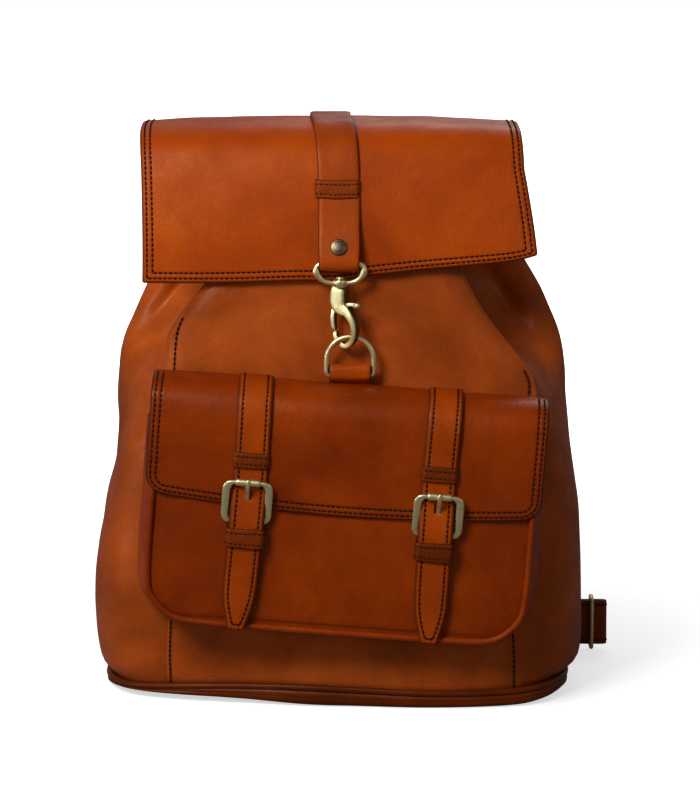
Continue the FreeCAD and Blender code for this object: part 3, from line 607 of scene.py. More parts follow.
def build_floor():
    """The floor is seen pale, but throws back little light on the object."""
    corners = [(x * FLOOR_HALF, y * FLOOR_HALF, 0) for x, y in ((-1, -1), (1, -1), (1, 1), (-1, 1))]
    mesh = bpy.data.meshes.new("floor")
    mesh.from_pydata(corners, [], [(0, 1, 2, 3)])
    floor = bpy.data.objects.new("floor", mesh)
    bpy.context.scene.collection.objects.link(floor)
    n = Nodes("floor_white")
    distance = n.new("VectorMath", {0: n.place}, operation="LENGTH").outputs["Value"]
    n.set(Base_Color=(0.8, 0.8, 0.8), Roughness=0.85, Specular_IOR_Level=0.1, Emission_Color=(1, 1, 1),
          Emission_Strength=n.range(distance, 0.6, 1.7, 0.15, 1.1))
    dull = n.new("BsdfDiffuse", {"Color": (0.22, 0.22, 0.22, 1)})
    rays = n.new("LightPath")
    mixed = n.new("MixShader", {0: rays.outputs["Is Camera Ray"], 1: dull.outputs[0], 2: n.shader.outputs[0]})
    n.tree.links.new(mixed.outputs[0], n.tree.nodes["Material Output"].inputs["Surface"])
    floor.data.materials.append(n.material)


def build_world():
    """White where it is seen, and dim where it lights the object."""
    world = bpy.data.worlds.new("studio")
    bpy.context.scene.world = world
    world.use_nodes = True
    tree = world.node_tree
    dim_light, seen = tree.nodes["Background"], tree.nodes.new("ShaderNodeBackground")
    for background, strength in ((dim_light, 0.16), (seen, 1.0)):
        background.inputs["Color"].default_value = (1, 1, 1, 1)
        background.inputs["Strength"].default_value = strength
    choose = tree.nodes.new("ShaderNodeMixShader")
    rays = tree.nodes.new("ShaderNodeLightPath")
    for k, socket in enumerate((rays.outputs["Is Camera Ray"], dim_light.outputs[0], seen.outputs[0])):
        tree.links.new(socket, choose.inputs[k])
    tree.links.new(choose.outputs[0], tree.nodes["World Output"].inputs["Surface"])


def build_stage():
    build_floor()
    build_world()
    for light in LIGHTS:
        area_light(*light)
    bpy.context.scene.view_settings.view_transform = "Standard"


# ---------------------------------------------------------------- the bag's shell

# Plan outlines of the right half from the front's middle to the back's middle, one row per height:
# z, then x, y of the front's middle, half way, the seam, the gusset's front corner, its hollow or
# side, the side's middle, the rear corner, the back seam, half way and the back's middle.
SHELL_RIGHT = [
    (11, (0, -70), (62, -73), (117, -68), (136, -56), (147, -30), (150, 0),
     (147, 36), (130, 58), (66, 61.5), (0, 62)),
    (21, (0, -70), (62, -72.5), (117, -70), (142, -59), (156, -33), (159, 0),
     (155, 38), (133, 60), (66, 62), (0, 62)),
    (34, (0, -70), (62, -72), (117, -70), (144, -58), (158, -32), (161.5, 0),
     (157, 38), (134, 60), (66, 62), (0, 62)),
    (75, (0, -70), (62, -70), (115, -68), (142, -58), (158, -32), (161, 0),
     (157, 38), (134, 60), (66, 62), (0, 62)),
    (116, (0, -70), (62, -70), (116, -68), (141, -57), (156, -30), (159, 2),
     (155, 38), (132, 60), (66, 62), (0, 62)),
    (157, (0, -69.5), (62, -69), (118, -67), (138, -55), (151, -28), (155, 4),
     (150, 37), (130, 58), (64, 61), (0, 61)),
    (190, (0, -68), (62, -67.5), (122, -64), (135, -48), (145, -24), (151, 4),
     (146, 35), (126, 57), (62, 59), (0, 59)),
    (214, (0, -66), (60, -65.5), (125, -60), (127, -40), (135, -18), (149, 6),
     (143, 33), (122, 55), (60, 57), (0, 57)),
    (232, (0, -64.5), (56, -64), (114, -60), (107, -34), (117, -4), (146, 10),
     (139, 32), (118, 54), (58, 56), (0, 56)),
    (250, (0, -63), (50, -62.5), (100, -59), (89, -30), (98, 4), (139, 14),
     (133, 32), (114, 52), (56, 54), (0, 54)),
    (268, (0, -61.5), (44, -61), (88, -58), (77, -28), (84, 6), (131, 15),
     (126, 31), (110, 50), (54, 52), (0, 52)),
    (290, (0, -59), (40, -58.5), (78, -56), (70, -26), (78, 3), (118, 13),
     (114, 30), (104, 47), (52, 50), (0, 50)),
    (320, (0, -56), (38, -55.5), (74, -52), (69, -23), (79, 0), (104, 10),
     (102, 28), (98, 44), (50, 46.5), (0, 47)),
    (352, (0, -52), (36, -51.5), (72, -48), (70, -20), (80, -4), (98, 8),
     (98, 26), (94, 41), (48, 43.5), (0, 44)),
]
# the left half differs: a tucked lower corner, a narrower shoulder and a seam in sight above the pocket
LEFT_CHANGES = {
    11: {1: (0, 10), 2: (-5, 15), 3: (0, 15), 4: (2, 9), 5: (1, 0)},
    21: {1: (0, 9), 2: (-5, 13), 3: (-1, 12), 4: (0, 8), 5: (0, 0)},
    34: {1: (0, 7), 2: (-5, 10), 3: (-1, 9), 4: (0, 6), 5: (0, 0)}, 75: {2: (-5, 1)},
    116: {2: (-6, 0), 4: (-3, 0), 5: (-4, 0)},
    157: {2: (-9, 0), 4: (-6, 0), 5: (-8, 0), 6: (-5, 0)},
    190: {2: (-13, 0), 3: (-6, 0), 4: (-5, 0), 5: (-5, 0)},
    214: {2: (-18, 0), 3: (-6, 2), 4: (-4, 0), 5: (-5, 0)},
    232: {2: (-8, 0), 3: (2, 2), 4: (-6, -4), 5: (-7, 0)},
    250: {2: (3, 0), 3: (7, 0), 5: (-11, 0)},
    268: {2: (4, 0), 3: (7, 0), 4: (4, 0), 5: (-16, 0)},
    290: {2: (-2, 0), 5: (-12, 0)},
}
SEAM, REAR_SEAM, LAST = 2, 7, 9


def shell_tracks(side):
    """One smooth track of (x, y) up the height for each column of the plan."""
    tracks = []
    for column in range(LAST + 1):
        rows = []
        for z, *corners in SHELL_RIGHT:
            x, y = corners[column]
            if side < 0:
                dx, dy = LEFT_CHANGES.get(z, {}).get(column, (0, 0))
                x, y = x + dx, y + dy
            rows.append((z, side * x, y))
        tracks.append(Track(rows))
    return tracks


TRACKS = {side: shell_tracks(side) for side in (-1, 1)}
SHELL_LOW, SHELL_HIGH = SHELL_RIGHT[0][0], SHELL_RIGHT[-1][0]


class Ring:
    """The shell's plan outline at one height; c runs from 0 in front to 9 behind, negative on the left."""

    cache = {}

    def __init__(self, z):
        self.halves = {}
        for side in (-1, 1):
            corners = [track.at(z) for track in TRACKS[side]]
            before, after = (Vector((-corner.x, corner.y)) for corner in (corners[1], corners[-2]))
            self.halves[side] = [before] + corners + [after]

    def at(self, c):
        side = -1 if c < 0 else 1
        corners, c = self.halves[side], min(abs(c), LAST - 1e-6)
        i = int(c)
        a, b, d, e = corners[i:i + 4]
        ab, bd, de = ((q - p).length for p, q in ((a, b), (b, d), (d, e)))
        return hermite(b, d, (d - a) * (bd / (ab + bd)), (e - b) * (bd / (bd + de)), c - i)


def ring(z):
    key = round(z, 3)
    if key not in Ring.cache:
        Ring.cache[key] = Ring(key)
    return Ring.cache[key]


# heights of the foot welt and of the lip under it, along the front from left to right
FOOT_HALF = 152
WELT = Track([(-152, 6.6), (-104, 10.2), (-63, 12.3), (-22, 12.8), (20, 11.2), (59, 9.9), (100, 10.0),
              (122, 11), (142, 12), (152, 11)])
LIP = Track([(-152, 4.6), (-104, 4.2), (-63, 3.3), (-22, 1.1), (20, 0.3), (60, 0.0), (100, 0.4), (122, 1.2),
             (142, 3.6), (152, 4.2)])


def foot_height(track, behind, place):
    """A track's height in front, easing to a plain height behind."""
    return behind + (track.at(clamp(place.x, -FOOT_HALF, FOOT_HALF)) - behind) * ease(-place.y, -10, 50)


def piping_height(place):
    return foot_height(WELT, 9.0, place)


def lip_height(place):
    return foot_height(LIP, 0.5, place)


def shell(c, z):
    point = ring(clamp(z, SHELL_LOW, SHELL_HIGH)).at(c)
    meets_welt = (piping_height(point) + 1.2 - SHELL_LOW) * (1 - ease(z, SHELL_LOW, 60))
    brim = 11.0 * ease(z, 312, SHELL_HIGH) * ease(1 - abs(abs(c) - 4.8) / 2.6, 0.0, 0.6)
    return Vector((point.x, point.y, z + meets_welt + brim))


def shell_facing(c, z):
    angle = abs(c) / LAST
    side = -1 if c < 0 else 1
    if abs(c) <= SEAM:
        return FRONT
    if abs(c) >= REAR_SEAM:
        return BACK
    return Vector((side, -math.cos(angle * math.pi) * 0.9, 0))


# soft hollows and swellings of the shell: x, z, reach in x, reach in z, slant of z with x, height
SHELL_MARKS = [
    (-128, 210, 16, 26, 0.9, -1.8), (-138, 150, 12, 40, 0.2, -1.5), (-128, 60, 14, 36, -0.3, 1.6),
    (-140, 34, 20, 10, 0.5, -1.4), (-120, 26, 22, 7, -0.2, 1.1), (60, 250, 10, 30, -1.4, 1.0),
    (40, 262, 26, 6, -0.2, -0.8), (-50, 262, 24, 6, 0.15, -0.8), (134, 120, 10, 50, 0.1, -1.5),
    (-107, 264, 20, 8, 1.07, -5.5), (-103, 247, 20, 6, 1.07, 2.4), (-124, 232, 14, 3.5, 0.5, 1.4),
    (113, 254, 17, 10, -1.35, -5.5), (126, 206, 14, 4, -0.5, 1.4), (-131, 172, 12, 5, 0.7, 1.2),
    (-20, 28, 60, 5, 0.02, -1.0), (60, 40, 40, 6, -0.08, 1.0), (128, 40, 14, 16, 0.6, -1.3),
]


def shell_relief(c, z, point):
    height = (1.5 * wobble(point.x, point.y * 1.3, point.z, 62, 1)
              + 0.5 * wobble(point.x, point.y, point.z, 20, 2))
    if point.y < 20:
        for x0, z0, wide, tall, slant, lift in SHELL_MARKS:
            x, up = point.x - x0, point.z - z0
            height += lift * math.exp(-(x / wide) ** 2 - ((up - slant * x) / tall) ** 2)
    seam_gap = min(abs(abs(c) - SEAM), abs(abs(c) - REAR_SEAM))
    return height * ease(seam_gap, 0.0, 0.25) - 0.3 * bump(seam_gap, 0.0, 0.03)


# painted shade: darker along the shell's foot, in the crease where it meets the welt
def foot_shade(c, z):
    return 0.8 * bump(z, SHELL_LOW, 2.5)


def build_shell():
    heights = denser(spread(SHELL_LOW, SHELL_HIGH, 4.0), spread(214, 262, 2.5))
    thick = 2.0
    hide = Hide(shell, shell_facing, shell_relief)
    front = [c * SEAM for c in spread(-1, 1, 0.03)]
    front = denser(front, [s * (SEAM - d) for s in (-1, 1) for d in (0.02, 0.05, 0.09)])
    hide.shape(front, heights, thick, burnish_and_shade=foot_shade, step=0.02).make(
        "front_panel_leather", BODY_TAN, "leather", "bag", ["front_panel"])
    for side, word in ((-1, "left"), (1, "right")):
        columns = [side * c for c in spread(SEAM + 0.004, REAR_SEAM - 0.004, 0.07)]
        columns.sort()
        hide.shape(columns, heights, thick, burnish_and_shade=foot_shade, step=0.02).make(
            word + "_gusset_leather", BODY_TAN, "leather", "bag", [word + "_gusset"])

    def back_at(w, z):
        """w runs from -1 at the left back seam through the middle to 1 at the right one."""
        return shell((LAST - (LAST - REAR_SEAM) * abs(w)) * (-1 if w < 0 else 1), z)

    def back_relief(w, z, point):
        lumps = 1.2 * wobble(point.x, 60, point.z, 70, 4) * ease(1 - abs(w), 0.0, 0.2)
        return lumps - 0.3 * bump(abs(w), 1.0, 0.01)

    back = Hide(back_at, BACK, back_relief)
    back.shape(spread(-1, 1, 0.025), denser(heights, [356]), thick, step=0.01).make(
        "back_panel_leather", BODY_TAN, "leather", "bag", ["back_panel"])
    rows = [[hide.spot(side * (SEAM - 0.045), z, 0.1) for z in spread(12, high, 3)]
            for side, high in ((-1, 256), (1, 222))]
    rows += [[back.spot(side * 0.965, z, 0.1) for z in spread(12, 346, 4)] for side in (-1, 1)]
    stitched("shell_stitches", "bag", *rows)


def build_lining():
    inset = 3.8

    def at(c, z):
        point = shell(c, z)
        out = (shell(c + 0.02, z) - shell(c - 0.02, z)).cross(UP).normalized()
        hint = shell_facing(c, z)
        return point - (out if out.dot(hint) > 0 else -out) * inset

    def relief(c, z, point):
        """The cloth follows the leather's folds in front and at the sides."""
        if abs(c) > REAR_SEAM:
            return 0.6 * wobble(point.x, point.y, point.z, 34, 9)
        return shell_relief(c, z, point)

    hide = Hide(at, shell_facing, relief)
    columns = [c for c in spread(-LAST + 0.01, LAST - 0.01, 0.12) if abs(c) > 0.05]
    hide.shape(columns, spread(14, 344, 7), 0.8, step=0.02).make(
        "lining_bag", LINING, "lining_cloth", "bag", ["lining"])


# ---------------------------------------------------------------- base

def base_line(inset, height_of):
    """A closed line of points round the foot of the bag."""
    line = []
    for c in spread(-LAST, LAST, 0.06)[:-1]:
        point = shell(c if abs(c) > 1e-9 else 1e-6, SHELL_LOW + 2)
        centre = Vector((clamp(point.x, -110, 110), clamp(point.y, -20, 20), point.z))
        away = (point - centre).normalized()
        place = point - away * inset
        line.append(Vector((place.x, place.y, height_of(place))))
    return line


BASE_THICK = 1.9


def swept_rings(lines, centre):
    """A sheet through closed lines of equal count, closed at its middle and made thick upward."""
    count = len(lines[0])
    points = [p for row in lines for p in row] + [centre]
    faces = []
    for r in range(len(lines) - 1):
        for k in range(count):
            m = (k + 1) % count
            faces.append((r * count + k, r * count + m, (r + 1) * count + m, (r + 1) * count + k))
    last = (len(lines) - 1) * count
    faces += [(last + k, last + (k + 1) % count, len(points) - 1) for k in range(count)]
    below = len(points)
    points += [p + UP * BASE_THICK for p in points]
    faces += [tuple(i + below for i in face[::-1]) for face in faces]
    faces += [(k, k + below, (k + 1) % count + below, (k + 1) % count) for k in range(count)]
    return Shape().add(points, faces)


def build_base():
    line = base_line(0.2, piping_height)
    Shape().tube(line, 2.3, sides=16, closed=True, burnish_and_shade=0.1).make(
        "base_welt", SHADED_BASE_TAN, "leather", "bag", ["base_piping"])
    # inset from the foot line, and share of the height from the lip to the welt
    rows = [(2.4, 1.0), (0.6, 0.84), (-0.9, 0.66), (-1.5, 0.46), (-1.3, 0.26), (-0.2, 0.08), (1.6, 0.0),
            (5, 0.0)]

    def between(share):
        return lambda p: lip_height(p) + (piping_height(p) - 1.3 - lip_height(p)) * share

    lines = [base_line(gap, between(share)) for gap, share in rows]
    lines += [base_line(16, lambda p: lip_height(p) * 0.5), base_line(34, lambda p: 0.0)]
    swept_rings(lines, Vector((0, 0, 0))).make("base_leather", SHADED_BASE_TAN, "leather", "bag", ["base_panel"])
    rise = 2.3
    board = [base_line(gap, lambda p: lip_height(p) * 0.8 + rise) for gap in (9, 20)]
    swept_rings(board, UP * rise).make("base_board_cut", BOARD, "board", "bag", ["base_board"])


# ---------------------------------------------------------------- main flap

FLAP_HALF, FLAP_THICK, FLAP_SKIN = 121.5, 2.0, 0.8
FLAP_PROFILE = Path([(50.6, 336), (49.7, 348), (48.4, 359), (44.8, 368.4), (36, 374.2), (20, 377.0),
                     (0, 377.8), (-20, 377.4), (-35, 375.2), (-47.8, 367.8), (-55.3, 354), (-60.6, 334),
                     (-64.8, 308), (-67.1, 279.8)])
FLAP_TAIL = FLAP_PROFILE.nearest((44.8, 368.4))
FLAP_FRONT = FLAP_PROFILE.nearest((-55.3, 354))
FLAP_LONG = FLAP_PROFILE.length
# how far the hem rises above its lowest line, across the flap
HEM = Track([(-125, 0.0), (-70, 0.2), (-25, 1.6), (0, 1.8), (20, 4.8), (50, 8.4), (80, 11.4), (110, 15.0),
             (125, 19.5)])
FLAP_BLEND = ("bag", "main_flap", (0, 0.051, 0.360), (0, 0.034, 0.366))
STITCH_IN, STITCH_FAR = 2.1, 5.6


def flap_centre(v):
    """Sideways shift of the flap's middle, from its top to its hem."""
    return -5.0 + 4.6 * ease(v, FLAP_FRONT - 60, FLAP_LONG)


def flap_at(u, v):
    hang = max(0.0, (v - FLAP_FRONT) / (FLAP_LONG - FLAP_FRONT))
    path = FLAP_PROFILE.at(v - HEM.at(u) * hang) if hang > 0 else FLAP_PROFILE.at(v)
    share = u / FLAP_HALF
    top = ease(v, FLAP_TAIL - 20, FLAP_TAIL + 10)
    droop = 3.2 * share * share * top * (1 - hang)
    belly = 5.0 * share * share * ease(v, FLAP_FRONT - 50, FLAP_FRONT + 20) * (1 - 0.5 * hang)
    flare = 3.0 * hang * max(0.0, share) ** 2
    narrow = 1 - 0.03 * (1 - top) + 0.016 * hang
    return Vector((flap_centre(v) + u * narrow + flare, path.x + belly - 4.5 * flare * 0.4, path.y - droop))


def edge_gap(u, v, half, low, corner):
    """Distance in from the nearest free edge: both sides and the hem at v = low, with round corners."""
    across, along = abs(u) - (half - corner), v - (low - corner)
    if across > 0 and along > 0:
        return corner - math.hypot(across, along)
    return min(half - abs(u), low - v)


def sewn_edge(gap, rows=(STITCH_IN, STITCH_FAR), depth=0.32):
    """Relief near a sewn edge: a groove under each row and a slight roll at the very edge."""
    roll = -0.35 * bump(gap, 0.0, 0.7)
    return roll - sum(depth * bump(gap, row, 0.75) for row in rows)


def flap_relief(u, v, point):
    lumps = 1.0 * wobble(point.x, point.y, point.z, 75, 5) + 0.28 * wobble(point.x, point.y, point.z, 22, 6)
    crease = 0.5 * bump(v - FLAP_FRONT, -4 + 0.05 * u, 5) * ease(u, 10, 60)
    return lumps - crease + sewn_edge(edge_gap(u, v, FLAP_HALF, FLAP_LONG, 1.0))


def sewn_tone(gap, rows=(STITCH_IN, STITCH_FAR)):
    """How dark a sewn edge is: burnished at the cut edge, with painted shade in the groove under each thread
    row.
    """
    return clamp(0.85 * bump(gap, 0.0, 0.5) + sum(0.35 * bump(gap, row, 0.7) for row in rows))


EDGE_STEPS = (0.5, 1.0, 1.5, 2.1, 2.7, 3.3, 4.0, 4.6, 5.1, 5.6, 6.1, 6.7, 7.5, 9.0)


def edge_lines(limit, side):
    """Grid lines close together along a sewn edge."""
    return [limit - side * d for d in EDGE_STEPS]


def path_facing(path, step):
    """Which way the outer face of a band looks, where the band follows a path in the YZ plane."""
    def facing(u, v):
        ahead = path.at(v + step) - path.at(v - step)
        return Vector((0, -ahead.y, ahead.x))
    return facing


def flap_facing(u, v):
    return Vector((0, 1, 0.3)) if v < FLAP_TAIL else Vector((0, -1, 1))


def flap_tone(u, v):
    return sewn_tone(edge_gap(u, v, FLAP_HALF, FLAP_LONG, 1.0))


def build_main_flap():
    hide = Hide(flap_at, flap_facing, flap_relief)
    us = denser(spread(-FLAP_HALF, FLAP_HALF, 4.5), edge_lines(-FLAP_HALF, -1), edge_lines(FLAP_HALF, 1))
    vs = denser(spread(0, FLAP_LONG, 3.6), edge_lines(FLAP_LONG, 1))
    hide.shape(us, vs, FLAP_THICK, burnish_and_shade=flap_tone).make(
        "main_flap_leather", TAN, "leather", FLAP_BLEND, ["main_flap"])

    def under(u, v):
        point, out = flap_at(u, v), hide.normal(u, v)
        return point + out * (flap_relief(u, v, point) - FLAP_THICK - 0.05)

    inner = Hide(under, hide.facing)
    inset = 4
    us = spread(-FLAP_HALF + inset, FLAP_HALF - inset, 6)
    vs = spread(FLAP_TAIL, FLAP_LONG - inset, 5)
    inner.shape(us, vs, FLAP_SKIN - 0.1).make(
        "main_flap_cloth", LINING, "lining_cloth", FLAP_BLEND, ["main_flap_lining"])

    rows = []
    for gap in (STITCH_IN, STITCH_FAR):
        half, low = FLAP_HALF - gap, FLAP_LONG - gap
        for side in (-1, 1):
            rows.append(hide.row([(side * half, v) for v in spread(FLAP_TAIL - 16, low, 3)]))
        rows.append(hide.row([(u, low) for u in spread(-half, half, 3)]))
    stitched("main_flap_stitches", FLAP_BLEND, *rows)
    sewn_down = FLAP_HALF - 5
    rows = [hide.row([(u, v) for u in spread(-sewn_down, sewn_down, 4)]) for v in (3.5, 7.5)]
    stitched("main_flap_tail_stitches", "bag", *rows)


# ---------------------------------------------------------------- closure strap, keeper and rivet

BAR_Y, BAR_Z = -72.2, 292.0
CLOSURE_X = (box_mm("closure_strap")[0].x + box_mm("closure_strap")[1].x) / 2
CLOSURE_HALF = 12.3
CLOSURE_PROFILE = Path([(48.2, 369.8), (37, 377), (20, 379.8), (0, 380.6), (-20, 380.1), (-36.5, 377.5),
                        (-50.3, 369.2), (-58, 355.4), (-63.4, 334), (-68.6, 315), (-73.4, 303), (-75.9, 296),
                        (-76.5, 291.8), (-75.2, 288.8), (-72.2, 287.6), (-69.4, 288.8), (-68.3, 291.5),
                        (-68.2, 296), (-67.4, 302)])
CLOSURE_LEAVES = CLOSURE_PROFILE.nearest((-63.4, 334))
CLOSURE_FOLD = CLOSURE_PROFILE.nearest((-75.9, 296))


def closure_at(u, v):
    path = CLOSURE_PROFILE.at(v)
    freed = ease(v, 40, CLOSURE_LEAVES)
    shift = flap_centre(v) * (1 - freed) + (CLOSURE_X + 0.2) * freed
    width = 1.0 - 0.04 * ease(v, CLOSURE_FOLD - 6, CLOSURE_FOLD + 1)
    return Vector((shift + u * width, path.x, path.y))


def build_closure():
    def relief(u, v, point):
        lumps = 0.22 * wobble(point.x, point.y, point.z, 24, 8)
        return lumps - 0.25 * bump(abs(u), CLOSURE_HALF, 0.8)

    def facing(u, v):
        return -path_facing(CLOSURE_PROFILE, 0.5)(u, v)

    hide = Hide(closure_at, facing, relief)
    edges = [s * (CLOSURE_HALF - d) for s in (-1, 1) for d in (0.5, 1.1)]
    us = denser(spread(-CLOSURE_HALF, CLOSURE_HALF, 2.2), edges)
    hide.shape(us, spread(0, CLOSURE_PROFILE.length, 2.0), 2.0).make(
        "closure_strap_leather", STRAP_TAN, "leather", FLAP_BLEND, ["closure_strap"])

    low, high = box_mm("closure_keeper")
    middle = (low + high) / 2
    keeper("closure_keeper_leather", "main_flap", ["closure_keeper"], middle.z - 0.5, 10.2,
           closure_front, 14.6, middle.x - 0.9, -7)

    # the rivet sits square on the strap's sloping face
    centre = Vector((CLOSURE_X, *CLOSURE_PROFILE.at(CLOSURE_PROFILE.nearest((-73.4, 303)))))
    tilt = math.radians(21)
    axis = Vector((0, -math.cos(tilt), math.sin(tilt)))
    profile = [(0, -3.0), (4.4, -3.0), (4.9, -0.2), (5.25, 0.4), (5.3, 1.1), (5.0, 1.6), (4.5, 1.85),
               (4.15, 1.8), (3.9, 1.95), (2.6, 2.25), (1.2, 2.4), (0, 2.45)]
    Shape().turned(profile, centre, axis, 40).make(
        "closure_rivet_cap", BRONZE, "dark_bronze", "main_flap", ["closure_rivet"])


def closure_front(z):
    """How far forward the strap's face is at a height, on its hanging part."""
    hanging = [p for p in CLOSURE_PROFILE.line if p.x < -50]
    return min(hanging, key=lambda p: abs(p.y - z)).x


def mirrored(half, *middle):
    """Points on the left, those in the middle and the same ones on the right."""
    return [*half, *middle, *((-x, y) for x, y in half[::-1])]


def keeper(name, body, nodes, z_middle, tall, front_of, half, x_middle, lean=0.0, matrix=None, depth=5.0):
    """A narrow loop of leather round a strap, with stitched edges."""
    front, stitch_in = 1.7, 2.1
    path = Path(mirrored([(-half, depth), (-half, 1.8), (-half + 0.25, 0.6), (-half + 2.2, -front + 0.2),
                          (-half + 4.2, -front)], (0, -front - 0.35)))
    slope = math.tan(math.radians(lean))

    def at(u, v):
        place = path.at(u)
        z = z_middle + v + 0.5 * wobble(place.x, 0, v, 14, half)
        return Vector((x_middle + place.x, front_of(z_middle) + place.y - slope * v, z))

    def relief(u, v, point):
        gap = tall / 2 - abs(v)
        grain = 0.12 * wobble(point.x, point.y, point.z, 5, 3)
        return grain - 0.25 * bump(gap, stitch_in, 0.7) - 0.3 * bump(gap, 0, 0.5)

    def facing(u, v):
        x = path.at(u).x
        return Vector((x * 0.4 if abs(x) > half - 3 else 0, -1 if abs(x) < half - 1 else -0.2, 0))

    hide = Hide(at, facing, relief, matrix)
    vs = denser(spread(-tall / 2, tall / 2, 0.8))
    hide.shape(spread(0, path.length, 1.0), vs, 1.4).make(name, KEEPER_TAN, "keeper_leather", body, nodes)
    rows = [hide.row([(u, side * (tall / 2 - stitch_in)) for u in spread(5, path.length - 5, 1.2)])
            for side in (-1, 1)]
    stitched(name.replace("leather", "stitches"), body, *rows, pitch=2.9, thread=0.36)


# ---------------------------------------------------------------- front pocket

POCKET_TILT = math.radians(4.4)
POCKET = Matrix.Translation((3, 0, 140)) @ Matrix.Rotation(POCKET_TILT, 4, "Y")
POCKET_HALF, POCKET_LOW, POCKET_HIGH, POCKET_ROUND = 120.0, -79.0, 46.0, 27.0
POCKET_FRONT = -103.6
FLAP2_HALF, FLAP2_ROUND = 125.0, 12.0
FLAP2_PROFILE = Path([(-70.5, 75.2), (-77, 76), (-84, 76.2), (-91, 75.4), (-97.5, 73), (-103, 68.8),
                      (-106.6, 62.5), (-108.2, 54), (-108.8, 40), (-108.7, 15), (-108.2, -3.2)])
FLAP2_LONG = FLAP2_PROFILE.length
POCKET_BEND = (POCKET @ Vector((0, -80, 76)), POCKET @ Vector((0, -92, 74)))
POCKET_BLEND = ("bag", "pocket_flap", *(tuple(place * MM) for place in POCKET_BEND))
# the pocket's outline seen from the front, from its upper left corner round its foot
U_TURN = Path(mirrored([
    (-POCKET_HALF - 1, POCKET_HIGH), (-POCKET_HALF - 1, 0), (-POCKET_HALF - 1, POCKET_LOW + 30),
    (-POCKET_HALF + 1.4, POCKET_LOW + 15), (-POCKET_HALF + 8, POCKET_LOW + 7),
    (-POCKET_HALF + 16, POCKET_LOW + 1), (-POCKET_HALF + 30, POCKET_LOW - 1.4),
], (0, POCKET_LOW - 2.2)), steps=12)
# soft hollows of the pocket's front: x, z, reach in x, reach in z, depth
POCKET_HOLLOWS = ((-96, -42, 16, 18, 1.6), (92, -48, 14, 20, 1.2), (-10, -52, 50, 12, 1.0))


def round_half(v, half, low, corner):
    """Half width of an outline with round lower corners at a height above its lowest line."""
    rise = v - low
    if rise >= corner:
        return half
    return half - corner + math.sqrt(max(0.0, corner ** 2 - (corner - rise) ** 2))


def build_pocket():
    def half_at(v):
        return round_half(v, POCKET_HALF, POCKET_LOW, POCKET_ROUND)

    def at(f, v):
        return Vector((f * half_at(v), POCKET_FRONT, v))

    def relief(f, v, point):
        gap = min(half_at(v) - abs(point.x), v - POCKET_LOW, 60)
        crown = 2.6 * ease(gap, -6, 34) - 1.4
        lumps = 1.3 * wobble(point.x, 0, point.z, 58, 11) + 0.35 * wobble(point.x, 0, point.z, 17, 12)
        for x, z, wide, tall, deep in POCKET_HOLLOWS:
            lumps -= deep * bump(point.x, x, wide) * bump(point.z, z, tall)
        return crown + lumps * ease(gap, 0, 14)

    # painted shade: a dark line just in from the pocket front's edge, standing for the shadowed gap beside
    # the welt
    def tone(f, v):
        return 0.75 * bump(min(half_at(v) * (1 - abs(f)), v - POCKET_LOW), 2.4, 1.1)

    hide = Hide(at, FRONT, relief, POCKET)
    edges = [s * (1 - d) for s in (-1, 1) for d in (0.006, 0.012, 0.018, 0.024, 0.032)]
    fs = denser(spread(-1, 1, 0.03), edges)
    foot = [POCKET_LOW + d for d in (0.3, 0.8, 1.6, 2.2, 2.8, 3.6)]
    vs = denser(spread(POCKET_LOW, POCKET_HIGH, 3.4), foot)
    hide.shape(fs, vs, 1.9, step=0.01, burnish_and_shade=tone).make(
        "pocket_front_leather", POCKET_TAN, "leather", "bag", ["pocket_front"])

    # the welt: a piped seam round the front
    x, z = POCKET_HALF - 2, POCKET_HIGH + 3.6
    corners = [tuple(U_TURN.at(s)) for s in spread(0, U_TURN.length, 9)]
    corners += [(x, z), (0, POCKET_HIGH + 4), (-x, z)]
    welt = Path(corners, closed=True, steps=4)
    line = [Vector((p.x, POCKET_FRONT + 0.6 + 0.5 * wobble(p.x, 0, p.y, 30, 4), p.y)) for p in welt.line[:-1]]
    Shape().tube(line, 2.25, sides=14, closed=True, burnish_and_shade=0.05).make(
        "pocket_welt", POCKET_TAN, "leather", "bag", ["pocket_piping"], matrix=POCKET)

    # the pocket's side wall runs back from the welt and flares towards the bag
    depth = 31.0

    def wall_at(u, v):
        s = clamp(u, 0, U_TURN.length)
        here = U_TURN.at(s)
        ahead = (U_TURN.at(min(s + 1, U_TURN.length)) - U_TURN.at(max(s - 1, 0))).normalized()
        away = Vector((ahead.y, -ahead.x))
        if away.dot(here - Vector((0, 10))) < 0:
            away = -away
        grow = -0.2 + 7.6 * ease(v, 0, depth) + 1.8 * math.sin(math.pi * clamp(v / depth))
        sag = 0.7 * wobble(here.x, v, here.y, 26, 13)
        place = here + away * (grow + sag * ease(v, 0, 8))
        return Vector((place.x, POCKET_FRONT + 1.2 + v, place.y))

    def wall_facing(u, v):
        here = U_TURN.at(clamp(u, 0, U_TURN.length))
        return Vector((here.x, -20, min(0.0, here.y + 40) * 2))

    wall = Hide(wall_at, wall_facing, None, POCKET)
    wall.shape(spread(0.6, U_TURN.length - 0.6, 3.2), spread(0, depth, 2.4), 1.9).make(
        "pocket_gusset_leather", POCKET_TAN, "leather", "bag", ["pocket_gusset"])


def flap2_half(v):
    """Half width of the pocket's flap, with its round lower corners."""
    over = v - (FLAP2_LONG - FLAP2_ROUND)
    if over <= 0:
        return FLAP2_HALF
    return FLAP2_HALF - FLAP2_ROUND + math.sqrt(max(0.0, FLAP2_ROUND ** 2 - over ** 2))


